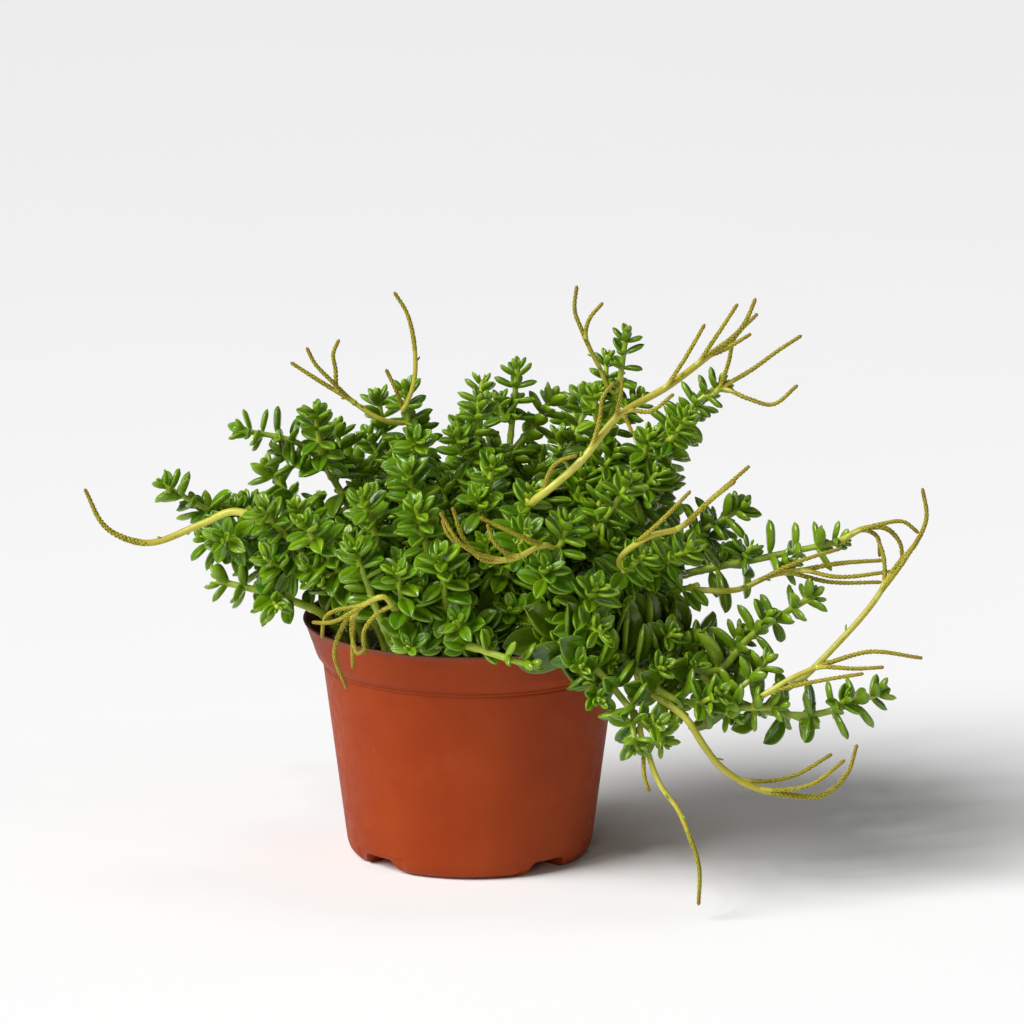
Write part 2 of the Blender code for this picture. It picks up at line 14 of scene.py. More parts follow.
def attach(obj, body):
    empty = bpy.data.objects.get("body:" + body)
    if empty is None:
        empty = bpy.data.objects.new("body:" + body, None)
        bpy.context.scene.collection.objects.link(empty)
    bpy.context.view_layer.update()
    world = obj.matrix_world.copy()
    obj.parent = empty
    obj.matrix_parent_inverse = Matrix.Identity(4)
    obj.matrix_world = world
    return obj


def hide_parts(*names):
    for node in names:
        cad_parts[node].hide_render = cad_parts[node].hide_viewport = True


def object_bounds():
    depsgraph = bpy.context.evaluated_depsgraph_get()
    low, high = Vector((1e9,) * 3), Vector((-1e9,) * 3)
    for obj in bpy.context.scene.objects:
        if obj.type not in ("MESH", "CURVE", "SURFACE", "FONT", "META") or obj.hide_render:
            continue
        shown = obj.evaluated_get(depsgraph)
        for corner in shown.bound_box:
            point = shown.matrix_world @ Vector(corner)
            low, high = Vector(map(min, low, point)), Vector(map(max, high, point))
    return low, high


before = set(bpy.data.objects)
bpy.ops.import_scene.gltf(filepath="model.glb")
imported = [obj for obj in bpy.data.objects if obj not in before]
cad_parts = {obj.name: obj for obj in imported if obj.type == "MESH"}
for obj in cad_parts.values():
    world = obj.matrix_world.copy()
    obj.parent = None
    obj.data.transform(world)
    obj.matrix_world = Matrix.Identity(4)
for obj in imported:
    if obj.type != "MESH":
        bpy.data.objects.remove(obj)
MM = 0.001
cad_low, cad_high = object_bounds()
chance = random.Random(11)

# ---------------------------------------------------------------- measures
POT_OUTSIDE = [
    (53.0, 0.0), (57.5, 1.4), (60.4, 4.6), (61.3, 9.0),
    (72.2, 92.5), (73.0, 96.8), (75.6, 101.5), (77.8, 107.5),
    (79.8, 113.0), (81.9, 118.4), (82.5, 119.4), (82.1, 120.0),
]
POT_RADII, POT_HEIGHTS = zip(*POT_OUTSIDE)
POT_WALL = 2.0
LIP_RADIUS, LIP_EDGE, LIP_TOP = 82.5, 118.0, 120.0
BAND_TOP = 96.8
CHANNEL_ANGLES = (-49, 41, 131, 221)
SOIL_TOP = 107.0
GRAIN_REACH = 74.0

# The middle of the mound of leaves, and how close two tips in it may be.
HEART = np.array((5.0, -5.0, 122.0))
TIP_SPACING = 18.5
GOLDEN_ANGLE = math.radians(137.5)
# The radius of a rooted stem at its foot; a side shoot's is less.
MAIN_FOOT = 2.5

# Each stem: its foot in the compost, the points it passes through, the share
# of it that is bare below, and its side shoot (where it starts, its points).
STEMS = [
    ((-56, -10), [(-88, -12, 150), (-125, -18, 176), (-152, -20, 192)], 0.45,
     (0.62, [(-116, -30, 168), (-122, -42, 169)])),
    ((-44, 6), [(-60, 4, 175), (-82, 2, 206), (-114, 0, 215)], 0.5,
     (0.62, [(-74, -12, 212), (-76, -16, 230)])),
    ((-50, -32), [(-78, -46, 158), (-103, -60, 190)], 0.4, None),
    ((-40, -42), [(-62, -60, 155), (-82, -75, 186)], 0.4, None),
    ((-60, -20), [(-69, -24, 124), (-88, -32, 136), (-108, -36, 143), (-125, -32, 146)], 0.4,
     (0.6, [(-96, -44, 141), (-94, -56, 138)])),
    ((-28, -44), [(-42, -62, 165), (-53, -80, 202)], 0.4, None),
    ((-18, -6), [(-26, -8, 185), (-32, -10, 240)], 0.5, (0.6, [(-28, -30, 205), (-26, -48, 222)])),
    ((0, -12), [(2, -16, 180), (5, -20, 236)], 0.5, None),
    ((12, 8), [(18, 8, 185), (24, 10, 246)], 0.5, (0.66, [(32, 14, 214), (42, 22, 228)])),
    ((34, 10), [(58, 12, 185), (72, 14, 225), (78, 15, 262)], 0.55, None),
    ((50, -2), [(78, -2, 180), (105, 0, 222), (126, 0, 240)], 0.55,
     (0.62, [(100, 8, 206), (106, 18, 210)])),
    ((34, -28), [(55, -42, 160), (80, -55, 204)], 0.45, None),
    ((20, -52), [(36, -76, 155), (50, -88, 191)], 0.4, None),
    ((10, -40), [(20, -64, 165), (32, -80, 205)], 0.4, None),
    ((2, -28), [(6, -44, 170), (12, -60, 214)], 0.45, None),
    ((-10, -50), [(-18, -72, 160), (-26, -88, 198)], 0.4, None),
    ((-12, -34), [(-22, -52, 170), (-30, -65, 211)], 0.45, None),
    ((-36, -56), [(-46, -78, 145), (-56, -92, 178)], 0.35, None),
    ((-22, -60), [(-31, -82, 140), (-35, -100, 168)], 0.3, None),
    ((-6, -60), [(-11, -82, 145), (-14, -99, 176)], 0.35, None),
    ((8, -60), [(5, -78, 130), (-7, -98, 142)], 0.3, None),
    ((-12, -66), [(-10, -71, 121), (-1, -86, 127), (14, -98, 125), (32, -101, 120)], 0.3, None),
    ((30, -50), [(36, -62, 125), (51, -84, 137), (66, -102, 138)], 0.4,
     (0.6, [(56, -88, 147), (63, -98, 160)])),
    ((44, -38), [(66, -64, 148), (86, -85, 173)], 0.4, None),
    ((52, -28), [(84, -47, 150), (109, -68, 172)], 0.4, None),
    ((58, -16), [(67, -21, 123), (90, -36, 138), (113, -56, 150)], 0.4, None),
    ((56, 8), [(96, 4, 150), (137, 0, 176)], 0.45, None),
    ((62, -4), [(70, -5, 123), (96, -7, 139), (145, -10, 152), (186, -10, 161)], 0.45, None),
    ((52, -40), [(57, -46, 121), (73, -59, 128), (98, -69, 117), (120, -71, 110), (138, -58, 124),
     (171, -42, 142)], 0.6, None),
    ((43, -50), [(48, -56, 121), (62, -71, 128), (82, -85, 114), (100, -90, 101), (124, -87, 96),
     (154, -84, 95)], 0.55, (0.74, [(133, -80, 104), (147, -77, 118)])),
    ((60, -28), [(67, -32, 121), (84, -40, 127), (106, -50, 110), (132, -61, 92), (166, -72, 88),
     (203, -70, 99)], 0.5, None),
    ((30, -58), [(35, -65, 121), (47, -80, 128), (66, -95, 113), (82, -104, 96),
     (96, -106, 82)], 0.45, (0.8, [(80, -110, 92), (82, -117, 82)])),
    ((-30, 40), [(-46, 64, 155), (-60, 85, 185)], 0.4, (0.55, [(-48, 86, 158), (-46, 104, 150)])),
    ((-4, 50), [(-6, 80, 150), (-5, 102, 178)], 0.4, (0.5, [(-12, 94, 146), (-16, 111, 138)])),
    ((26, 46), [(40, 76, 150), (52, 98, 185)], 0.4, (0.5, [(36, 92, 148), (34, 111, 140)])),
    ((52, 28), [(76, 48, 155), (100, 65, 192)], 0.4, (0.5, [(86, 66, 152), (98, 88, 148)])),
    ((-48, 26), [(-74, 40, 150), (-102, 50, 184)], 0.4, None),
    ((0, 30), [(4, 50, 180), (6, 62, 226)], 0.45, None),
    ((-26, 22), [(-38, 38, 175), (-46, 48, 222)], 0.45, None),
    ((30, 26), [(46, 44, 175), (60, 56, 222)], 0.45, None),
]
# Side shoots that fill the crown: the stem, how far along it, their points.
FILLERS = [(7, 0.42, [(-38, -16, 166), (-48, -24, 186)]), (9, 0.40, [(30, -4, 164), (38, -9, 186)]),
           (15, 0.50, [(-8, -30, 176), (-14, -28, 194)]), (33, 0.45, [(-30, 62, 150), (-28, 78, 166)]),
           (34, 0.45, [(16, 76, 146), (22, 92, 162)]), (36, 0.45, [(72, 26, 150), (92, 34, 168)])]
# The stems that trail below the rim: longer gaps, older and thicker leaves.
TRAILING = (5, 22, 28, 29, 30, 31, 32)

# Gaps between the leaves: left, right, lowest and highest along a slant of 13.8
# degrees, and how far back each gap reaches.
OPENINGS = [(-86, -64, 96, 128, 200), (-66, -42, 90, 117, 200), (-44, 0, 60, 101, 200),
            (0, 46, 60, 94, 200), (-84, -62, 184, 192, 200), (15, 25, 208, 219, 200),
            (104, 118, 132, 146, 200), (-70, -40, 100, 136, -78)]
# The tangent of that slant.
SLANT = 0.2456

# Each flower: its stem, how far along it, the stalk's thickness, the points of
# the stalk and its leading spike, the share where that spike turns granular,
# and the other spikes (the share where each forks off, its points).
FLOWERS = [
    (3, 0.92, 4.2, [(-116, -52, 186), (-132, -46, 178), (-161, -47, 169), (-178, -46, 176),
     (-189, -45, 196)], 0.6, []),
    (7, 0.86, 2.6, [(-42, -18, 224), (-62, -20, 237), (-76, -21, 246), (-88, -21, 254)], 0.64,
     [(0.46, [(-68, -26, 246), (-76, -27, 255), (-80, -27, 263)]),
     (0.6, [(-66, -17, 250), (-67, -17, 257), (-64, -18, 265)])]),
    (7, 0.92, 2.8, [(-32, -26, 232), (-28, -27, 242), (-27, -27, 264), (-31, -27, 281),
     (-37, -27, 291)], 0.6, [(0.16, [(-36, -30, 242), (-41, -31, 253)])]),
    (10, 0.8, 2.4, [(64, 9, 245), (56, 5, 263), (52, 5, 274), (53, 5, 287)], 0.5,
     [(0.56, [(59, 3, 270), (66, 2, 279)])]),
    (14, 0.93, 4.2, [(34, -91, 203), (53, -90, 219), (74, -81, 242), (97, -73, 254),
     (116, -66, 267), (133, -64, 281), (140, -63, 296)], 0.78,
     [(0.1, [(43, -94, 221), (53, -95, 225)]),
     (0.3, [(64, -89, 243), (65, -89, 252), (71, -88, 260)]),
     (0.42, [(74, -86, 254), (75, -86, 262)]), (0.45, [(80, -85, 233)]),
     (0.47, [(88, -84, 244), (100, -84, 253)]), (0.6, [(103, -76, 265), (115, -76, 286)]),
     (0.72, [(119, -70, 276), (131, -71, 295)]), (0.76, [(124, -60, 269), (138, -58, 277)])]),
    (11, 0.93, 2.8, [(129, -4, 240), (140, -5, 247), (152, -5, 256), (164, -5, 264)], 0.3,
     [(0.16, [(137, -9, 233), (149, -10, 230), (162, -10, 240)]),
     (0.1, [(128, -8, 252), (130, -9, 262), (142, -9, 276)])]),
    (24, 0.8, 3.6, [(88, -91, 183), (104, -91, 188), (114, -88, 197), (137, -84, 217)], 0.5,
     [(0.18, [(94, -98, 193), (108, -99, 208)]), (0.5, [(120, -95, 204), (130, -95, 212)])]),
    (13, 0.82, 3.4, [(36, -97, 180), (20, -105, 175), (7, -109, 176), (-2, -111, 186),
     (-8, -111, 203)], 0.55, [(0.08, [(24, -109, 188), (5, -112, 198)]),
     (0.38, [(12, -112, 186), (9, -113, 195)]), (0.46, [(-4, -117, 186), (-14, -118, 202)]),
     (0.7, [(-10, -115, 190), (-13, -116, 198)])]),
    (19, 0.62, 3.2, [(-42, -96, 154), (-54, -88, 146), (-62, -77, 134), (-66, -74, 120),
     (-60, -72, 101)], 0.46, [(0.12, [(-51, -90, 136), (-51, -86, 122)]),
     (0.3, [(-68, -84, 138), (-77, -76, 136)]), (0.34, [(-71, -80, 138), (-72, -81, 129)]),
     (0.42, [(-57, -82, 126), (-57, -79, 113)]),
     (0.46, [(-57, -84, 130), (-54, -87, 123), (-50, -87, 126)])]),
    (26, 0.92, 3.2, [(120, -52, 146), (132, -46, 145), (149, -45, 152), (164, -46, 155),
     (180, -46, 158), (205, -46, 160)], 0.6, [(0.3, [(162, -49, 160), (183, -50, 167)]),
     (0.58, [(180, -52, 153), (208, -53, 156)]), (0.5, [(178, -43, 148), (203, -43, 148)])]),
    (28, 0.97, 3.6, [(185, -15, 163), (194, -15, 168), (206, -14, 168), (213, -14, 160),
     (214, -14, 152)], 0.4, [(0.24, [(204, -20, 172), (214, -20, 173), (222, -20, 167)]),
     (0.34, [(202, -9, 162), (203, -8, 152)])]),
    (31, 0.66, 3.6, [(166, -62, 106), (180, -63, 121), (198, -62, 142), (210, -61, 161),
     (219, -60, 172), (224, -60, 184), (222, -60, 200)], 0.66,
     [(0.6, [(203, -56, 166), (200, -54, 174)]), (0.55, [(214, -67, 166), (221, -67, 178)])]),
    (30, 0.9, 3.0, [(152, -90, 108), (166, -89, 115), (180, -88, 120), (194, -88, 124),
     (222, -88, 121)], 0.46, [(0.1, [(176, -94, 112), (193, -95, 115)]),
     (0.42, [(190, -93, 117), (203, -94, 118)])]),
    (30, 0.48, 4.0, [(108, -95, 90), (114, -95, 80), (123, -95, 68), (140, -94, 57), (156, -93, 53),
     (174, -92, 53), (185, -91, 63), (190, -90, 78)], 0.62,
     [(0.58, [(168, -98, 60), (184, -97, 72)]), (0.5, [(158, -88, 61), (178, -86, 72)])]),
    (32, 0.86, 3.0, [(88, -114, 78), (94, -119, 64), (102, -124, 54), (107, -128, 43),
     (112, -131, 28), (112, -133, 8)], 0.62, [(0.1, [(86, -120, 68), (88, -121, 62)])]),
    (34, 0.8, 3.2, [(-2, 104, 164), (4, 112, 154), (14, 119, 148), (22, 122, 156)], 0.45,
     [(0.4, [(2, 119, 144), (-2, 123, 134)])]),
    (37, 0.66, 3.2, [(-80, 58, 152), (-86, 72, 148), (-94, 86, 150), (-98, 98, 160)], 0.45,
     [(0.42, [(-84, 84, 142), (-80, 96, 140)])]),
]


# ---------------------------------------------------------------- materials
def rgb(red, green, blue):
    """A colour given the way a paint chip states it, 0 to 255."""
    parts = [v / 255 for v in (red, green, blue)]
    return (*[v / 12.92 if v <= 0.04045 else ((v + 0.055) / 1.055) ** 2.4 for v in parts], 1.0)


class Paint:
    """A procedural material under construction."""

    def __init__(self, name):
        self.material = bpy.data.materials.new(name)
        self.material.use_nodes = True
        self.tree = self.material.node_tree
        self.shader = self.tree.nodes["Principled BSDF"]

    def put(self, socket, value):
        if isinstance(value, bpy.types.NodeSocket):
            self.tree.links.new(value, socket)
        else:
            socket.default_value = value

    def set(self, **values):
        for name, value in values.items():
            self.put(self.shader.inputs[name.replace("_", " ")], value)

    def attribute(self, name):
        node = self.tree.nodes.new("ShaderNodeAttribute")
        node.attribute_name = name
        return node.outputs["Fac"]

    def place(self):
        return self.tree.nodes.new("ShaderNodeTexCoord").outputs["Object"]

    def noise(self, scale, detail=3.0, stretch=None):
        node = self.tree.nodes.new("ShaderNodeTexNoise")
        node.inputs["Scale"].default_value = scale
        node.inputs["Detail"].default_value = detail
        place = self.place()
        if stretch:
            mapping = self.tree.nodes.new("ShaderNodeMapping")
            mapping.inputs["Scale"].default_value = stretch
            self.put(mapping.inputs["Vector"], place)
            place = mapping.outputs["Vector"]
        self.put(node.inputs["Vector"], place)
        return node.outputs["Fac"]

    def cells(self, scale):
        node = self.tree.nodes.new("ShaderNodeTexVoronoi")
        node.inputs["Scale"].default_value = scale
        self.put(node.inputs["Vector"], self.place())
        return node.outputs["Distance"]

    def remap(self, value, low, high, first=0.0, last=1.0):
        node = self.tree.nodes.new("ShaderNodeMapRange")
        node.interpolation_type = "SMOOTHSTEP"
        for key, number in zip((0, 1, 2, 3, 4), (value, low, high, first, last)):
            self.put(node.inputs[key], number)
        return node.outputs[0]

    def math(self, operation, first, second=0.0):
        node = self.tree.nodes.new("ShaderNodeMath")
        node.operation = operation
        self.put(node.inputs[0], first)
        self.put(node.inputs[1], second)
        return node.outputs[0]

    def mix(self, share, first, second, mode="MIX"):
        node = self.tree.nodes.new("ShaderNodeMix")
        node.data_type = "RGBA"
        node.blend_type = mode
        self.put(node.inputs[0], share)
        self.put(node.inputs[6], first)
        self.put(node.inputs[7], second)
        return node.outputs[2]

    def patches(self, scale, low, high, first=0.0, last=1.0, detail=3.0, stretch=None):
        """Noise read between two levels, which gives soft-edged patches."""
        return self.remap(self.noise(scale, detail, stretch), low, high, first, last)

    def ground(self, share, first, second):
        """The first colour of all, somewhere between two."""
        self.colour = self.mix(share, rgb(*first), rgb(*second))

    def cover(self, share, *colour):
        """Lays one more colour over those before it, by a share."""
        self.colour = self.mix(share, self.colour, rgb(*colour))

    def finish(self, scale, detail, strength, depth):
        """Joins the colour and a fine bump to the shader."""
        self.set(Base_Color=self.colour)
        node = self.tree.nodes.new("ShaderNodeBump")
        node.inputs["Strength"].default_value = strength
        node.inputs["Distance"].default_value = depth
        self.put(node.inputs["Height"], self.noise(scale, detail))
        self.put(self.shader.inputs["Normal"], node.outputs["Normal"])
        return self.material


def leaf_paint():
    paint = Paint("peperomia_leaf")
    age, tint = paint.attribute("age"), paint.attribute("tint")
    across, under, along = (paint.attribute(n) for n in ("across", "under", "along"))
    paint.ground(tint, (74, 122, 4), (134, 172, 18))
    paint.cover(paint.remap(age, 0.3, 1.0), 86, 108, 12)
    paint.cover(paint.patches(90.0, 0.35, 0.7, 0.0, 0.4), 60, 100, 4)
    # Painted shade: the upper side is darkened along the crease of the fold, near the midrib.
    crease_shade = paint.math("MULTIPLY", paint.remap(across, 0.5, 0.0, 0.0, 0.5),
                        paint.math("SUBTRACT", 1.0, under))
    paint.cover(crease_shade, 40, 72, 2)
    back = paint.math("MULTIPLY", paint.remap(under, 0.5, 1.0, 0.0, 0.5),
                      paint.remap(across, 0.0, 0.9, 1.0, 0.6))
    paint.cover(back, 136, 162, 34)
    paint.cover(paint.remap(across, 0.86, 1.0, 0.0, 0.1), 160, 180, 56)
    paint.cover(paint.remap(along, 0.2, 0.0, 0.0, 0.7), 166, 182, 44)
    paint.cover(paint.remap(along, 0.93, 1.0, 0.0, 0.35), 146, 150, 48)
    paint.cover(paint.patches(1400.0, 0.62, 0.75, 0.0, 0.16, 2.0), 156, 176, 60)
    paint.set(Roughness=paint.patches(260.0, 0.3, 0.75, 0.17, 0.32), Subsurface_Weight=0.12,
              Specular_IOR_Level=0.4, Subsurface_Scale=0.0025, Coat_Weight=0.22,
              Coat_Roughness=0.05)
    paint.shader.inputs["Subsurface Radius"].default_value = (0.7, 1.0, 0.2)
    return paint.finish(420.0, 4.0, 0.3, 0.0003)


def stem_paint():
    paint = Paint("peperomia_stem")
    paint.ground(paint.patches(120.0, 0.3, 0.7, detail=4.0), (134, 164, 28), (172, 192, 58))
    paint.cover(paint.patches(500.0, 0.55, 0.75, 0.0, 0.35), 110, 120, 48)
    paint.cover(paint.remap(paint.attribute("age"), 0.5, 1.0, 0.0, 0.3), 112, 122, 40)
    paint.set(Roughness=paint.patches(300.0, 0.3, 0.7, 0.3, 0.45), Subsurface_Weight=0.1,
              Subsurface_Scale=0.002)
    return paint.finish(700.0, 4.0, 0.35, 0.0003)


def stalk_paint():
    paint = Paint("flower_stalk_skin")
    far = paint.attribute("along")
    paint.ground(paint.patches(150.0, 0.3, 0.7, detail=4.0), (178, 182, 52), (204, 200, 86))
    paint.cover(paint.remap(far, 0.2, 1.0, 0.0, 0.75), 176, 158, 34)
    dots = paint.math("MULTIPLY", paint.patches(1500.0, 0.56, 0.68, detail=2.0),
                      paint.remap(far, 0.1, 0.9, 0.1, 0.6))
    paint.cover(dots, 120, 88, 26)
    paint.set(Roughness=0.36, Subsurface_Weight=0.1, Subsurface_Scale=0.002)
    return paint.finish(900.0, 4.0, 0.3, 0.0002)


def spike_paint():
    paint = Paint("flower_spike_skin")
    # Painted shade and light: the colour follows the bump height passed in as 'across', dark in the
    # hollows between bumps and light on their tops.
    paint.ground(paint.remap(paint.attribute("across"), 0.2, 0.75), (96, 84, 8), (184, 174, 50))
    paint.cover(paint.patches(420.0, 0.45, 0.75, 0.0, 0.5), 150, 154, 34)
    paint.cover(paint.remap(paint.attribute("along"), 0.72, 1.0, 0.0, 0.55), 132, 96, 32)
    paint.set(Roughness=0.6, Specular_IOR_Level=0.3)
    return paint.finish(2600.0, 3.0, 0.6, 0.0003)


def pot_paint():
    paint = Paint("terracotta_plastic")
    paint.ground(paint.patches(14.0, 0.3, 0.7, detail=4.0), (142, 50, 6), (153, 59, 12))
    paint.cover(paint.patches(30.0, 0.42, 0.75, 0.0, 0.25, 5.0, (1.0, 1.0, 0.12)), 162, 66, 20)
    paint.cover(paint.patches(60.0, 0.5, 0.85, 0.0, 0.14, 6.0), 168, 84, 40)
    paint.cover(paint.patches(900.0, 0.72, 0.79, 0.0, 0.4, 2.0), 196, 128, 84)
    paint.cover(paint.attribute("lip"), 112, 70, 54)
    paint.cover(paint.attribute("inner"), 112, 70, 56)
    # Painted shade: the pot is darkened along the two grooves at the top of the band.
    paint.cover(paint.attribute("groove_shade"), 96, 30, 12)
    paint.set(Roughness=paint.patches(180.0, 0.3, 0.7, 0.45, 0.6, 5.0), Specular_IOR_Level=0.16)
    return paint.finish(1300.0, 5.0, 0.18, 0.0002)


def compost_paint():
    paint = Paint("damp_compost")
    paint.ground(paint.patches(160.0, 0.3, 0.7, detail=6.0), (58, 42, 28), (112, 86, 60))
    paint.cover(paint.remap(paint.cells(420.0), 0.0, 0.4, 0.5, 0.0), 38, 26, 18)
    paint.set(Roughness=paint.patches(500.0, 0.3, 0.7, 0.75, 0.98))
    return paint.finish(700.0, 8.0, 0.9, 0.0012)


def pumice_paint():
    paint = Paint("pumice_grain")
    paint.ground(paint.patches(240.0, 0.3, 0.7, detail=5.0), (214, 198, 168), (240, 232, 212))
    paint.cover(paint.remap(paint.cells(900.0), 0.0, 0.3, 0.45, 0.0), 120, 98, 72)
    paint.set(Roughness=0.9)
    return paint.finish(1500.0, 6.0, 0.8, 0.0006)


# ---------------------------------------------------------------- shapes
class Route:
    """A smooth curve through a few points, measured by distance along it."""

    def __init__(self, points, first_way):
        points = np.array(points, float)
        chords = np.linalg.norm(np.diff(points, axis=0), axis=1)[:, None]
        slopes = np.diff(points, axis=0) / chords
        ways = [np.array(first_way, float)]
        for k in range(1, len(slopes)):
            ways.append((slopes[k - 1] * chords[k] + slopes[k] * chords[k - 1])
                        / (chords[k] + chords[k - 1]))
        ways.append(slopes[-1])
        line = []
        for k, chord in enumerate(chords):
            for t in np.arange(12) / 12:
                line.append(points[k] * (2 * t**3 - 3 * t**2 + 1)
                            + points[k + 1] * (3 * t**2 - 2 * t**3)
                            + ways[k] * chord * (t**3 - 2 * t**2 + t)
                            + ways[k + 1] * chord * (t**3 - t**2))
        line.append(points[-1])
        self.line = np.array(line)
        steps = np.linalg.norm(np.diff(self.line, axis=0), axis=1)
        self.far = np.concatenate([[0.0], np.cumsum(steps)])
        self.length = float(self.far[-1])
        tangents = np.gradient(self.line, axis=0)
        tangents[0] = ways[0]
        self.tangents = tangents / np.linalg.norm(tangents, axis=1)[:, None]
        across = np.array((0.83, 0.55, 0.1))
        frames = []
        for tangent in self.tangents:
            across = unit(across - tangent * across.dot(tangent))
            frames.append(across)
        self.across = np.array(frames)

    def frames(self, distances):
        """Centres, tangents and two cross directions at many distances."""
        def blend(rows):
            return np.stack([np.interp(distances, self.far, rows[:, k]) for k in range(3)], 1)
        tangent = blend(self.tangents)
        tangent /= np.linalg.norm(tangent, axis=1)[:, None]
        across = blend(self.across)
        across -= tangent * (tangent * across).sum(1)[:, None]
        across /= np.linalg.norm(across, axis=1)[:, None]
        return blend(self.line), tangent, across, np.cross(tangent, across)

    def at(self, distance):
        return [rows[0] for rows in self.frames(np.array([distance]))]


def unit(vector):
    vector = np.array(vector, float)
    return vector / np.linalg.norm(vector)


FIELDS = ("across", "under", "along", "age", "tint")


class Body:
    """A mesh gathered from several blocks of points and faces."""

    def __init__(self):
        self.points, self.faces, self.slots, self.fields = [], [], [], []
        self.count = 0

    def add(self, points, faces, slot, **fields):
        points = np.asarray(points, float).reshape(-1, 3)
        self.points.append(points)
        for block in faces:
            block = np.asarray(block) + self.count
            self.faces.extend(block.tolist())
            self.slots.extend([slot] * len(block))
        rows = np.zeros((len(points), len(FIELDS)))
        for name, value in fields.items():
            rows[:, FIELDS.index(name)] = value
        self.fields.append(rows)
        self.count += len(points)

    def build(self, name, materials, record_slot, *nodes):
        mesh = bpy.data.meshes.new(name)
        mesh.from_pydata((np.concatenate(self.points) * MM).tolist(), [], self.faces)
        mesh.polygons.foreach_set("material_index", self.slots)
        mesh.shade_smooth()
        fields = np.concatenate(self.fields)
        for k, field in enumerate(FIELDS):
            mesh.attributes.new(field, "FLOAT", "POINT").data.foreach_set("value", fields[:, k])
        for material in materials:
            mesh.materials.append(material)
        mesh.update()
        item = bpy.data.objects.new(name, mesh)
        bpy.context.collection.objects.link(item)
        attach(item, "root")
        if nodes:
            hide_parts(*nodes)
        return item


def tube_points(route, distances, radii, sides, lumps=1.0):
    """Rings of points along a route; lumps scales each point's radius."""
    centre, _, u, v = route.frames(distances)
    angles = 2 * math.pi * np.arange(sides) / sides
    ring = np.cos(angles)[None, :, None] * u[:, None] + np.sin(angles)[None, :, None] * v[:, None]
    size = np.asarray(radii)[:, None] * np.ones((len(distances), sides)) * lumps
    return centre[:, None] + ring * size[:, :, None]


def tube_faces(rings, sides):
    """Side faces of a tube of rings, and the flat faces at its two ends."""
    row, col = np.meshgrid(np.arange(rings - 1), np.arange(sides), indexing="ij")
    nxt = (col + 1) % sides
    sides_faces = np.stack([row * sides + col, row * sides + nxt,
                            (row + 1) * sides + nxt, (row + 1) * sides + col], -1).reshape(-1, 4)
    ends = [list(reversed(range(sides))), [(rings - 1) * sides + k for k in range(sides)]]
    return [sides_faces, np.array(ends[:1]), np.array(ends[1:])]


# ---------------------------------------------------------------- leaves
STATIONS = np.array([0.0, 0.05, 0.12, 0.22, 0.34, 0.47, 0.6, 0.72, 0.83, 0.92, 0.975, 1.0])
OUTLINE = np.array([0.17, 0.21, 0.44, 0.73, 0.93, 1.0, 0.99, 0.9, 0.73, 0.48, 0.24, 0.05])
REACH = np.array([1.0, 0.8, 0.4, 0.0])
# Round the leaf: along the upper side from one edge to the other, then back below.
SIDE_OF = np.array([-1, -1, -1, 0, 1, 1, 1, 1, 1, 1, 0, -1, -1, -1])
STEP_OF = np.array([0, 1, 2, 3, 2, 1, 0, 0, 1, 2, 3, 2, 1, 0])
ACROSS_OF = REACH[STEP_OF]
UNDER_OF = np.array([0.3, 0, 0, 0, 0, 0, 0.3, 0.7, 1, 1, 1, 1, 1, 0.7])
# Off the middle surface, as a share of the thickness, from the edge to the keel.
ABOVE = (0.12, 0.27, 0.36, 0.3)
BELOW = (-0.12, -0.4, -0.6, -0.68)
KEEL = 3


def leaf_points(rows):
    """Points of many folded leaves at once: leaf, station, point round it."""
    root, along, up, length, width, fold, thick, curl, bend = rows
    wide = np.cross(along, up)
    s = STATIONS[None, :]
    turn = curl[:, None] * s
    line = (root[:, None]
            + along[:, None] * (length[:, None] * s * (1 - turn**2 / 6))[..., None]
            + up[:, None] * (length[:, None] * s * turn / 2)[..., None]
            + wide[:, None] * (length[:, None] * bend[:, None] * s**2 / 2)[..., None])
    lift = up[:, None] * np.cos(turn)[..., None] - along[:, None] * np.sin(turn)[..., None]
    half = width[:, None] / 2 * OUTLINE[None, :]
    open_angle = fold[:, None] * (1.3 - 0.4 * np.sin(math.pi * s) + 0.3 * s**3)
    inner, outer = 0.55 * open_angle, 1.75 * open_angle
    flesh = (thick[:, None] * (0.3 + 0.7 * np.sqrt(OUTLINE))[None, :]
             * np.clip((1.05 - s) * 4, 0.15, 1))
    xs, ys = [], []
    for number, (side, step) in enumerate(zip(SIDE_OF, STEP_OF)):
        reach = REACH[step]
        angle = inner + (outer - inner) * reach / 2
        slope = (inner + (outer - inner) * reach) * (step != KEEL)
        offset = (ABOVE if number < len(SIDE_OF) // 2 else BELOW)[step]
        xs.append(side * (half * reach * np.cos(angle) - np.sin(slope) * flesh * offset))
        ys.append(half * reach * np.sin(angle) + np.cos(slope) * flesh * offset)
    x, y = np.stack(xs, -1), np.stack(ys, -1)
    return line[:, :, None] + wide[:, None, None] * x[..., None] + lift[:, :, None] * y[..., None]


def add_leaves(body, leaves, slot):
    """Mesh a list of leaves (dicts) into a body."""
    if not leaves:
        return
    keys = ("root", "along", "up", "length", "width", "fold", "thick", "curl", "bend")
    points = leaf_points([np.array([leaf[key] for leaf in leaves], float) for key in keys])
    shape = points.shape[:3]
    count, stations, around = shape
    faces = [(block[None] + (np.arange(count) * stations * around)[:, None, None]
              ).reshape(-1, block.shape[1])[:, ::-1] for block in tube_faces(stations, around)]

    def spread(values):
        return np.broadcast_to(values, shape).ravel()

    age, tint = (np.array([leaf[key] for leaf in leaves])[:, None, None] for key in ("age", "tint"))
    body.add(points, faces, slot, across=spread(ACROSS_OF), under=spread(UNDER_OF),
             along=spread(STATIONS[None, :, None]), age=spread(age), tint=spread(tint))


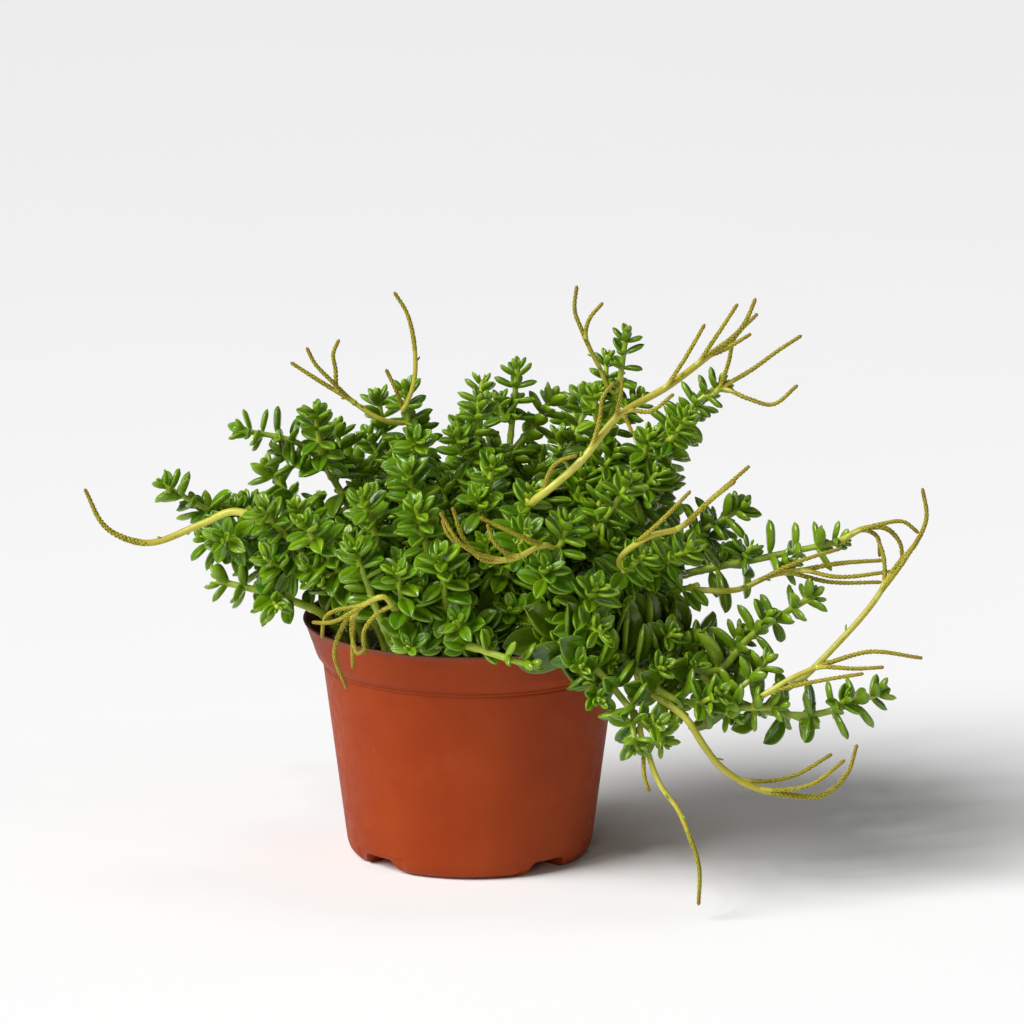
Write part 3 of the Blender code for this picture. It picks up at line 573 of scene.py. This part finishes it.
# ---------------------------------------------------------------- growth
class Room:
    """Remembers where stems and leaves are, so that new ones keep clear."""
    CELL = 6.0

    def __init__(self):
        self.cells = {}

    def key(self, p):
        return (int(p[0] // self.CELL), int(p[1] // self.CELL), int(p[2] // self.CELL))

    def take(self, point, radius, owner):
        self.cells.setdefault(self.key(point), []).append((*point, radius, owner))

    def free(self, point, radius, owner, own_share):
        i, j, k = self.key(point)
        for a in (i - 1, i, i + 1):
            for b in (j - 1, j, j + 1):
                for c in (k - 1, k, k + 1):
                    for x, y, z, other, whose in self.cells.get((a, b, c), ()):
                        gap = radius + other
                        if whose == owner:
                            gap *= own_share
                        if (x - point[0])**2 + (y - point[1])**2 + (z - point[2])**2 < gap * gap:
                            return False
        return True


class Shoot:
    """One leafy stem or side shoot."""

    def __init__(self, stem, number, route, radii, bare, size, trailing):
        self.stem, self.number, self.route = stem, number, route
        self.foot, self.tip = radii
        self.main = self.foot == MAIN_FOOT
        self.bare, self.size, self.trailing = bare, size, trailing
        self.whorls = []
        self.leaves = []

    def radius(self, distance):
        return self.foot + (self.tip - self.foot) * min(1.0, distance / self.route.length)


def clear_of_pot(point, margin):
    """Whether a point is above the compost and off the pot's wall and lip."""
    x, y, z = point
    if z > LIP_TOP + margin:
        return True
    reach = math.hypot(x, y)
    outer = LIP_RADIUS if z > LIP_EDGE else float(np.interp(z, POT_HEIGHTS, POT_RADII))
    if reach > outer + margin:
        return z > 3.0
    return reach < outer - POT_WALL - margin and z > SOIL_TOP + margin


def inside_box(point, spare):
    return all(low / MM - spare < v < high / MM + spare
               for v, low, high in zip(point, cad_low, cad_high))


def in_opening(point):
    """Whether a point is in one of the gaps the leaves leave when seen from the front."""
    height = point[2] + SLANT * point[1]
    return any(left < point[0] < right and low < height < high and point[1] < back
               for left, right, low, high, back in OPENINGS)


def route_clear(route):
    """Whether a side shoot keeps off the pot and out of the gaps, past its root."""
    return all(clear_of_pot(p, 2.4) and inside_box(p, 0.0) and not in_opening(p)
               for p in route.line[4:])


def leaf_size(tip):
    """Shoots at the crown carry smaller leaves than those lower down."""
    return (1.12 - 0.28 * min(1.0, max(0.0, (tip[2] - 185) / 65))) * chance.uniform(0.92, 1.08)


def side_route(main, share, points):
    """The route of a side shoot, which slants forward off its stem."""
    centre, tangent, _, _ = main.route.at(main.route.length * share)
    return Route([centre, *points], unit(unit(np.array(points[0]) - centre) + tangent * 0.5))


def add_shoot(shoots, stem, route, radii, bare, trailing, share=1.0):
    size = leaf_size(route.line[-1]) * share
    shoots.append(Shoot(stem, len(shoots), route, radii, bare, size, trailing))


def add_side_shoots(shoots, main, tips):
    """Short side shoots up a main stem, wherever the mound has room for one."""
    length = main.route.length
    reach = np.linalg.norm(main.route.line[-1] - HEART)
    top = max(p[2] for p in main.route.line) + 3
    far = length * 0.3
    turn = chance.uniform(0, 6.3)
    while far < length - 12:
        centre, tangent, u, v = main.route.at(far)
        step = chance.uniform(8, 12) * (1.7 if main.trailing and far > length / 2 else 1.0)
        for _ in range(5):
            turn += GOLDEN_ANGLE
            radial = math.cos(turn) * u + math.sin(turn) * v
            long = chance.uniform(13, 30) * (0.7 if main.trailing else 1.0)
            first = unit(radial * 0.9 + tangent * 0.6)
            second = unit(radial * 0.5 + unit(centre - HEART) * 0.55 + tangent * 0.3
                          + np.array((0, 0, 0.45)))
            knee = centre + first * long * 0.45
            end = knee + second * long * 0.62
            crowded = min(np.linalg.norm(end - t) for t in tips) < TIP_SPACING
            beyond = not main.trailing and np.linalg.norm(end - HEART) > reach + 4
            if crowded or beyond or end[2] > top or not inside_box(end, -6):
                continue
            route = Route([centre, knee, end], first)
            if route_clear(route):
                add_shoot(shoots, main.stem, route, (1.55, 1.1), 0.12, main.trailing, 0.95)
                tips.append(end)
                break
        far += step


def plan_shoots():
    """The main stems, their forks, and short side shoots that fill the mound."""
    shoots = []
    for stem, (foot, points, bare, fork) in enumerate(STEMS, start=1):
        trailing = stem in TRAILING
        route = Route([(*foot, SOIL_TOP - 2.0), *points], (0, 0, 1))
        add_shoot(shoots, stem, route, (MAIN_FOOT, 1.5 if trailing else 1.25),
                  bare * (0.3 if trailing else 0.6), trailing)
        if fork:
            add_shoot(shoots, stem, side_route(shoots[-1], *fork), (1.7, 1.15), 0.15, trailing)
    mains = [s for s in shoots if s.main]
    for stem, share, points in FILLERS:
        add_shoot(shoots, stem, side_route(mains[stem - 1], share, points), (1.6, 1.1), 0.15, False)
    tips = [s.route.line[-1] for s in shoots]
    for main in mains:
        add_side_shoots(shoots, main, tips)
    return shoots


# Whorls of leaves from the tip backwards: the gap before each, and its leaves'
# length, rise off the stem in degrees, and number.
WHORL_STEPS = (0.8, 1.6, 3.4, 5.8, 7.4, 8.2, 8.8, 9.2, 9.6)
WHORL_LENGTHS = (4.0, 7.8, 11.0, 12.8, 13.6, 14.2, 15.0, 16.2, 17.6)
WHORL_RISES = (68, 46, 27, 16, 9, 4, 0, -5, -10)
WHORL_COUNTS = (2, 3, 4, 4, 4, 4, 4, 4, 4)


def plan_whorls(shoot):
    """Whorls from the tip backwards, closer and smaller towards the tip."""
    far = shoot.route.length
    level = 0
    while True:
        kind = min(level, len(WHORL_STEPS) - 1)
        loose = 1.5 if far > 0.55 * shoot.route.length else 0.85
        far -= WHORL_STEPS[kind] * (loose if shoot.trailing and level > 2 else 1.0)
        if far < max(shoot.bare * shoot.route.length, 3.0):
            return
        count = WHORL_COUNTS[kind] - (chance.random() < 0.35)
        count = max(2, count)
        shoot.whorls.append((far, level, count, chance.uniform(0, 6.3)))
        level += 1


# Ways to fit a leaf in: turned round the stem by so much, at a share of its length.
LEAF_TRIES = ((0, 1), (0.3, 1), (-0.3, 0.95), (0.6, 0.85), (0, 0.72), (-0.6, 0.72))
# The balls that stand for a leaf of 13 mm: how far along it, and the radius.
LEAF_BALLS = ((0.3, 1.1), (0.55, 1.35), (0.78, 1.15), (1.0, 0.5))


def leaf_axes(tangent, out, rise, old):
    """The way a leaf points, and the way that its upper side faces."""
    along = unit(math.cos(rise) * out + math.sin(rise) * tangent
                 + np.array((0, 0, 0.12 + 0.1 * old)))
    up = tangent - along * along.dot(tangent)
    up = unit(up + 0.25 * (np.array((0, 0, 1.0)) - along * along[2]))
    return along, unit(up - along * along.dot(up))


def try_leaf(room, shoot, whorl, number):
    """Grows one leaf of a whorl if it fits; old leaves are longer and hang."""
    far, level, count, phase = whorl
    kind = min(level, len(WHORL_LENGTHS) - 1)
    centre, tangent, u, v = shoot.route.at(far)
    old = min(1.0, max(0.0, (level - 3) / 8))
    length = WHORL_LENGTHS[kind] * shoot.size * chance.uniform(0.88, 1.1)
    droop = 0.0
    if shoot.trailing:
        length *= 0.9 + (0.55 if shoot.main else 0.2) * old
    elif level > 7:
        length *= 1.0 + 0.05 * min(level - 7, 8)
        droop = 3.0 * min(level - 7, 8)
    rise = math.radians(WHORL_RISES[kind] - droop + chance.gauss(0, 9))
    spin = phase + 2 * math.pi * number / count + chance.gauss(0, 0.17)
    own_share = 0.0 if level < 3 else 0.45
    for nudge, size in LEAF_TRIES:
        out = math.cos(spin + nudge) * u + math.sin(spin + nudge) * v
        along, up = leaf_axes(tangent, out, rise, old)
        long = length * size
        root = centre + out * shoot.radius(far) * 0.6
        curl = chance.gauss(0.18 - 0.09 * min(level, 6), 0.12)
        bulk = (long / 13.0) ** 0.5
        balls = [(root + along * long * s + up * long * curl * s * s / 2, r * bulk)
                 for s, r in LEAF_BALLS]
        if all(room.free(p, r, shoot.number, own_share) and clear_of_pot(p, 1.0)
               and inside_box(p, 4.0) and not in_opening(p) for p, r in balls):
            break
    else:
        return
    for p, r in balls:
        room.take(p, r, shoot.number)
    fold = math.radians(chance.uniform(13, 27) + 8 * old * chance.random())
    width = long * chance.uniform(0.5, 0.62) * (1 + 0.06 * old) * (0.85 if level == 0 else 1.0)
    bend = chance.gauss(0, 0.12)
    age = min(1.0, 0.75 * old + 0.35 * shoot.trailing * old + chance.uniform(0, 0.2))
    fresh = 0.5 - 0.04 * level + (0.2 if level < 2 else 0)
    tint = min(1.0, max(0.0, chance.gauss(fresh, 0.2)))
    shoot.leaves.append({
        "root": root, "along": along, "up": up, "length": long, "width": width, "fold": fold,
        "thick": 0.7 * math.sqrt(long), "curl": curl, "bend": bend, "age": age, "tint": tint})


def add_stem(body, shoot, slot):
    """A round stem, a little swollen where leaves join it."""
    route, sides = shoot.route, 10
    distances = np.append(np.arange(0, route.length, 1.3), route.length)
    radii = np.array([shoot.radius(d) for d in distances])
    for whorl in shoot.whorls:
        radii *= 1 + 0.16 * np.exp(-((distances - whorl[0]) / 1.1) ** 2)
    age = np.zeros(len(distances))
    if shoot.main:
        age = np.clip(1.25 - distances / route.length * 1.4, 0, 1)
    else:
        radii *= 1 + 0.35 * np.exp(-(distances / 2.5) ** 2)
    radii[-1] *= 0.35
    body.add(tube_points(route, distances, radii, sides), tube_faces(len(distances), sides), slot,
             age=np.repeat(age, sides))


def flower_routes(shoots):
    """The route of every flower stalk and of the spikes that fork off it."""
    mains = [s for s in shoots if s.main]
    found = []
    for parent, share, thick, points, granular, forks in FLOWERS:
        stem = mains[parent - 1]
        centre, tangent, _, _ = stem.route.at(stem.route.length * share)
        out = np.array(points[0], float) - centre
        out = unit(out - tangent * out.dot(tangent))
        route = Route([centre, *points], out)
        sides = []
        for fork_share, path in forks:
            start, way, _, _ = route.at(route.length * fork_share)
            first = unit(unit(np.array(path[0]) - start) + way * 0.7)
            sides.append(Route([start, *path], first))
        found.append((route, thick, granular, sides))
    return found


def add_spike(body, route, start, foot, slot):
    """The granular part of a flower spike: rows of tiny staggered bumps."""
    pitch, sides, tip = 1.0, 14, 0.86
    distances = np.arange(start, route.length, pitch / 4)
    share = (distances - start) / (route.length - start)
    radii = foot + (tip - foot) * share
    radii = radii * np.sqrt(np.clip((route.length - distances) / 1.1, 0.1, 1))
    spin = 2 * math.pi * np.arange(sides) / sides
    loose = np.random.default_rng(int(route.length * 1000))
    drift = np.cumsum(loose.normal(0, 0.35, len(distances)))[:, None]
    along = math.pi * distances / pitch + np.cumsum(loose.normal(0, 0.12, len(distances)))
    wave = np.cos(4 * spin[None, :] + drift) * np.cos(along[:, None])
    speckle = loose.uniform(0, 1, wave.shape)
    bumps = np.clip(0.5 + 0.5 * wave + 0.6 * (speckle - 0.5), 0, 1)
    lumps = 1 + 0.5 * (bumps - 0.5) * np.clip(share * 8, 0.0, 1)[:, None]
    points = tube_points(route, distances, radii, sides, lumps)
    # The bump height also goes to the colour as 'across', where it paints shade in the hollows and
    # light on the bump tops.
    body.add(points, tube_faces(len(distances), sides), slot, across=bumps.ravel(),
             along=np.repeat(share, sides))


def add_stalk(body, route, end, foot, top, slot):
    """The smooth part of a flower stalk, a little swollen where it starts."""
    sides = 10
    distances = np.append(np.arange(0, end, 1.2), end)
    radii = foot + (top - foot) * (distances / end) ** 0.8
    radii = radii * (1 + 0.3 * np.exp(-(distances / 2.0) ** 2))
    body.add(tube_points(route, distances, radii, sides), tube_faces(len(distances), sides), slot,
             along=np.repeat(distances / end, sides))


def bract(route, far, radius, spin, length):
    """A small scale leaf held close to a flower stalk."""
    centre, tangent, u, v = route.at(far)
    out = math.cos(spin) * u + math.sin(spin) * v
    along = unit(out + tangent * 0.9)
    up = unit(tangent - along * along.dot(tangent))
    return {"root": centre + out * radius * 0.7, "along": along, "up": up, "length": length,
            "width": length * 0.42, "fold": math.radians(35), "thick": 0.6, "curl": 0.3,
            "bend": 0.0, "age": 0.2, "tint": chance.uniform(0.6, 1.0)}


def grow_leaves(shoots, flowers):
    """Leaves in the room that stems and stalks leave, young whorls first."""
    room = Room()
    for shoot in shoots:
        plan_whorls(shoot)
        for d in np.arange(0, shoot.route.length, 2.2):
            room.take(tuple(shoot.route.at(d)[0]), shoot.radius(d), shoot.number)
    for route, _, _, sides in flowers:
        for line in [route, *sides]:
            for d in np.arange(6, line.length, 2.0):
                room.take(tuple(line.at(d)[0]), 1.4, -1)
    for level in range(max(len(s.whorls) for s in shoots)):
        for shoot in [s for s in shoots if level < len(s.whorls)]:
            for number in range(shoot.whorls[level][2]):
                try_leaf(room, shoot, shoot.whorls[level], number)


def gather_flower(route, thick, granular, sides):
    """One flower's mesh: stalk in slot 0, spikes in slot 1, scale leaves in slot 2."""
    body = Body()
    turn = route.length * granular
    top = max(1.15, 0.4 * thick)
    add_stalk(body, route, turn, thick / 2, top, 0)
    add_spike(body, route, turn - 0.6, top * 0.98, 1)
    bracts = [bract(route, route.length * s, thick / 2 * (1 - 0.4 * s), chance.uniform(0, 6.3),
                    chance.uniform(2.6, 4.0))
              for s in np.arange(0.14, granular, 0.13)]
    for line in sides:
        add_stalk(body, line, line.length * 0.12 + 1.5, 1.2, 1.08, 0)
        add_spike(body, line, line.length * 0.12 + 0.9, 1.08, 1)
    add_leaves(body, bracts, 2)
    return body


def build_plant():
    leaf, stem, stalk, spike = leaf_paint(), stem_paint(), stalk_paint(), spike_paint()
    shoots = plan_shoots()
    flowers = flower_routes(shoots)
    grow_leaves(shoots, flowers)
    for number in range(1, len(STEMS) + 1):
        body = Body()
        for shoot in [s for s in shoots if s.stem == number]:
            add_stem(body, shoot, 1)
            add_leaves(body, shoot.leaves, 0)
        body.build(f"grown_stem_{number:02d}", [leaf, stem], "leaf", f"leafy_stem_{number:02d}")
    for number, flower in enumerate(flowers, start=1):
        gather_flower(*flower).build(f"flower_{number:02d}", [stalk, spike, leaf], "flower_stalk",
                                     f"flower_stalk_{number:02d}")


# ---------------------------------------------------------------- pot and compost
def smoothstep(value, low, high):
    t = np.clip((value - low) / (high - low), 0, 1)
    return t * t * (3 - 2 * t)


def from_faces(name, points, faces):
    mesh = bpy.data.meshes.new(name)
    mesh.from_pydata((np.asarray(points) * MM).tolist(), [], faces)
    mesh.update()
    item = bpy.data.objects.new(name, mesh)
    bpy.context.collection.objects.link(item)
    return item


def apply_modifiers(item):
    mesh = bpy.data.meshes.new_from_object(
        item.evaluated_get(bpy.context.evaluated_depsgraph_get()))
    item.modifiers.clear()
    old = item.data
    item.data = mesh
    mesh.name = item.name
    bpy.data.meshes.remove(old)


def channel_cutter(angle):
    """An arch-shaped drainage channel, wider at its foot, along one radius."""
    half = [(13.5, -2.0), (12.6, 0.6), (11.2, 3.4), (9.8, 5.8), (7.8, 7.0)]
    outline = [(-y, z) for y, z in half] + half[::-1]
    points = [(r, y, z) for r in (16.0, 76.0) for y, z in outline]
    n = len(outline)
    faces = [list(range(n)), list(reversed(range(n, 2 * n)))]
    faces += [[k, k + n, (k + 1) % n + n, (k + 1) % n] for k in range(n)]
    item = from_faces("cutter", points, faces)
    item.data.transform(Matrix.Rotation(math.radians(angle), 4, "Z"))
    return item


def pot_profile():
    """Half of the pot's section: the outside from the foot up, the inside down."""
    outside = [(52.0, 0.0), (54.6, 0.15), (56.8, 0.75), (58.6, 1.9), (59.8, 3.4), (60.5, 5.2),
               (61.0, 7.2)]
    outside += [(61.3 + 10.9 * (z - 9.0) / 83.5, z) for z in
                (7.8, 8.3, 8.8, 9.3, 10.0, 12.0, 15.0, 20.0, 30.0, 45.0, 60.0, 75.0, 88.0, 92.5)]
    outside += [(72.5, 95.2), (72.7, 96.2), (72.5, 96.6), (72.5, 96.95), (72.85, 97.3),
                (73.2, 97.95), (73.1, 98.3), (73.15, 98.7), (73.8, 99.1), (74.8, 100.4),
                (75.6, 101.5), (76.3, 103.0), (77.1, 105.2), (77.8, 107.5), (78.8, 110.2),
                (79.8, 113.0), (80.8, 115.8), (81.7, 118.0), (82.35, 118.8), (82.6, 119.4),
                (82.4, 119.85), (81.9, 120.0)]
    inside = [(81.3, 119.9), (80.8, 119.5), (80.3, 118.6), (78.0, 112.8), (76.1, 107.2),
              (74.0, 101.2), (71.4, 96.8), (70.6, 92.5), (59.7, 12.0), (58.6, 9.6), (52.0, 9.0)]
    return np.array(outside), np.array(inside)


def pot_shell(outside, inside):
    """The turned pot, a touch out of round, with panels pressed in over the channels."""
    profile = np.concatenate([outside, inside])
    rows, segments = len(profile), 288
    angles = 2 * math.pi * np.arange(segments) / segments
    radius = np.repeat(profile[:, :1], segments, axis=1)
    height = np.repeat(profile[:, 1:], segments, axis=1)
    outer = np.arange(rows) < len(outside)
    apart = np.min([np.abs((np.degrees(angles) - a + 180) % 360 - 180)
                    for a in CHANNEL_ANGLES], axis=0)
    panel = smoothstep(-apart, -17.2, -15.8)[None, :] * smoothstep(-height, -9.1, -7.7)
    radius = radius - 0.9 * panel * outer[:, None]
    radius = radius + 0.18 * np.sin(2 * angles + 0.6) * (height / LIP_TOP) ** 3
    points = np.stack([radius * np.cos(angles), radius * np.sin(angles), height], -1).reshape(-1, 3)
    points = np.concatenate([points, [(0, 0, outside[0][1]), (0, 0, inside[-1][1])]])
    faces = tube_faces(rows, segments)[0].tolist()
    last = (rows - 1) * segments
    for k in range(segments):
        n = (k + 1) % segments
        faces.append([len(points) - 2, n, k])
        faces.append([len(points) - 1, last + k, last + n])
    return from_faces("pot_shell", points, faces)


def build_pot():
    outside, inside = pot_profile()
    pot = pot_shell(outside, inside)
    for angle in CHANNEL_ANGLES:
        cutter = channel_cutter(angle)
        modifier = pot.modifiers.new("channel", "BOOLEAN")
        modifier.operation = "DIFFERENCE"
        modifier.object = cutter
        apply_modifiers(pot)
        bpy.data.objects.remove(cutter)
    mesh = pot.data
    mesh.shade_smooth()
    mesh.set_sharp_from_angle(angle=math.radians(38))
    mesh.materials.clear()
    mesh.materials.append(pot_paint())
    places = np.empty(len(mesh.vertices) * 3)
    mesh.vertices.foreach_get("co", places)
    places = places.reshape(-1, 3) / MM
    reach, z = np.hypot(places[:, 0], places[:, 1]), places[:, 2]
    wall = np.interp(z, outside[:, 1], outside[:, 0])
    # Painted shade along the two grooves at the top of the band, darkest in the lower one.
    low_groove = np.exp(-((z - BAND_TOP) / 0.4) ** 2)
    high_groove = np.exp(-((z - BAND_TOP - 1.6) / 0.35) ** 2)
    fields = {"inner": ((reach < wall - 1.0) & (z > 9.5)) * smoothstep(z, 119.9, 119.0),
              "lip": smoothstep(z, 117.6, 119.0) * 0.8,
              "groove_shade": 0.3 * (low_groove + 0.6 * high_groove)}
    for name, values in fields.items():
        mesh.attributes.new(name, "FLOAT", "POINT").data.foreach_set("value", values.astype(float))
    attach(pot, "root")
    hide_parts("pot")


def dome_faces(rings, sides):
    """Faces between rings of points that follow one pole, and the fan round it."""
    quads = 1 + np.roll(tube_faces(rings, sides)[0][:, ::-1], 1, axis=1)
    return quads, [[0, 1 + k, 1 + (k + 1) % sides] for k in range(sides)]


def lump(seed, size, flat):
    """An irregular rounded grain: a small sphere pushed out of shape."""
    rough = random.Random(seed)
    rings, sides = 5, 7
    ways = [np.array([rough.gauss(0, 1) for _ in range(3)]) for _ in range(4)]
    points = [(0, 0, 1.0)]
    for r in range(1, rings):
        for k in range(sides):
            a, b = math.pi * r / rings, 2 * math.pi * (k + 0.5 * (r % 2)) / sides
            points.append((math.sin(a) * math.cos(b), math.sin(a) * math.sin(b), math.cos(a)))
    points.append((0, 0, -1.0))
    points = np.array(points)
    swell = 1 + 0.22 * sum(np.sin(points @ w * 1.7 + k) for k, w in enumerate(ways)) / 1.6
    points = points * swell[:, None] * size * np.array((1, rough.uniform(0.65, 1), flat))
    turn = np.array(Matrix.Rotation(rough.uniform(0, 6.3), 3, Vector(ways[0]).normalized()))
    points = points @ turn.T
    quads, fan = dome_faces(rings - 1, sides)
    base = 1 + (rings - 2) * sides
    fan += [[len(points) - 1, base + (k + 1) % sides, base + k] for k in range(sides)]
    return points, [np.array(fan), quads]


def soil_height(x, y):
    reach = math.hypot(x, y)
    rise = (0.7 * math.sin(x * 0.21 + 1) * math.cos(y * 0.17) + 0.5 * math.sin(x * 0.47 + y * 0.39)
            + 0.35 * math.sin(x * 1.1 - y * 0.9) + 0.25 * math.cos(y * 1.7 + x * 0.6))
    heap = 4.5 * math.exp(-((x + 57) / 9) ** 2 - ((y + 6) / 12) ** 2)
    return SOIL_TOP - 0.4 + rise * 0.8 + heap - 1.2 * max(0.0, (reach - 62) / 13) ** 2


def circle(radius, sides):
    """Points round the pot's axis."""
    turns = [2 * math.pi * k / sides for k in range(sides)]
    return [(radius * math.cos(a), radius * math.sin(a)) for a in turns]


def scatter(name, material, count, sizes, in_patch):
    """Loose grains on the compost, with every other one in the patch at the left."""
    body = Body()
    for k in range(count):
        reach, a = GRAIN_REACH * math.sqrt(chance.random()), chance.uniform(0, 6.283)
        if k % 3 == 0:
            reach = chance.uniform(60, GRAIN_REACH)
        x, y = reach * math.cos(a), reach * math.sin(a)
        if in_patch and k % 2:
            x, y = chance.gauss(-54, 6), chance.gauss(-1, 8)
        size = chance.uniform(*sizes) * chance.uniform(0.6, 1)
        shape, blocks = lump(k * 7 + count, size, 0.75)
        body.add(shape + np.array((x, y, soil_height(x, y) + size * 0.25)), blocks, 0)
    body.build(name, [material], "compost")


def build_compost():
    earth, pumice = compost_paint(), pumice_paint()
    rings, sides = 44, 150
    points = [(0, 0, soil_height(0, 0))]
    for r in range(1, rings + 1):
        points += [(x, y, soil_height(x, y)) for x, y in circle(75.4 * r / rings, sides)]
    points += [(x, y, 96.0) for x, y in circle(70.5, sides)]
    quads, fan = dome_faces(rings + 1, sides)
    floor = [[1 + rings * sides + k for k in reversed(range(sides))]]
    body = Body()
    body.add(points, [quads, np.array(fan), np.array(floor)], 0)
    body.build("compost_top", [earth], "compost", "potting_soil")
    scatter("compost_crumbs", earth, 620, (0.7, 2.3), False)
    scatter("pumice_grains", pumice, 460, (0.9, 2.4), True)


# ---------------------------------------------------------------- stage
# Each light: its kind, place in metres, size (an angle for the sun) and power.
LIGHTS = {
    "key": ("SUN", (-1.65, -0.9, 1.75), math.radians(36), 3.7),
    "top": ("AREA", (0.1, 0.3, 1.9), 0.6, 3.0),
    "fill": ("AREA", (-0.35, -2.2, 0.7), 0.5, 5.0),
    "glint_left": ("AREA", (-0.6, -1.3, 1.6), 0.1, 3.0),
    "glint_right": ("AREA", (0.9, -1.0, 1.5), 0.08, 0.7),
}
LIT_POINT = Vector((0, 0, 0.15))
# The camera stands far off with a long lens, so that it sees almost no perspective.
CAMERA_AIM = (0.021, 0.173)
CAMERA_DISTANCE = 6.0
CAMERA_TILT = math.radians(13.8)


def build_floor(scene):
    mesh = bpy.data.meshes.new("floor")
    mesh.from_pydata([(-12, -8, 0), (12, -8, 0), (12, 20, 0), (-12, 20, 0)], [], [(0, 1, 2, 3)])
    floor = bpy.data.objects.new("floor", mesh)
    scene.collection.objects.link(floor)
    paint = Paint("pale_floor")
    paint.set(Base_Color=paint.mix(paint.noise(3.0), rgb(251, 251, 251), rgb(248, 248, 248)),
              Roughness=0.9, Specular_IOR_Level=0.0)
    mesh.materials.append(paint.material)


def build_lights(scene):
    world = bpy.data.worlds.new("studio")
    world.use_nodes = True
    sky = world.node_tree.nodes["Background"]
    sky.inputs["Color"].default_value = (1.0, 1.0, 1.0, 1.0)
    sky.inputs["Strength"].default_value = 0.09
    scene.world = world
    for name, (kind, place, size, power) in LIGHTS.items():
        light = bpy.data.lights.new(name, kind)
        if kind == "SUN":
            light.angle = size
        else:
            light.size = size
        light.energy = power
        item = bpy.data.objects.new(name, light)
        item.location = place
        item.rotation_euler = (LIT_POINT - Vector(place)).to_track_quat("-Z", "Y").to_euler()
        scene.collection.objects.link(item)


def build_camera(scene):
    camera = bpy.data.cameras.new("camera")
    camera.lens, camera.sensor_width = 426.0, 36.0
    camera.clip_end = 60.0
    item = bpy.data.objects.new("camera", camera)
    item.location = (CAMERA_AIM[0], -CAMERA_DISTANCE * math.cos(CAMERA_TILT),
                     CAMERA_AIM[1] + CAMERA_DISTANCE * math.sin(CAMERA_TILT))
    item.rotation_euler = (math.pi / 2 - CAMERA_TILT, 0, 0)
    scene.collection.objects.link(item)
    scene.camera = item


def build_stage():
    scene = bpy.context.scene
    scene.view_settings.view_transform = "Standard"
    build_floor(scene)
    build_lights(scene)
    build_camera(scene)


build_stage()
build_pot()
build_compost()
build_plant()
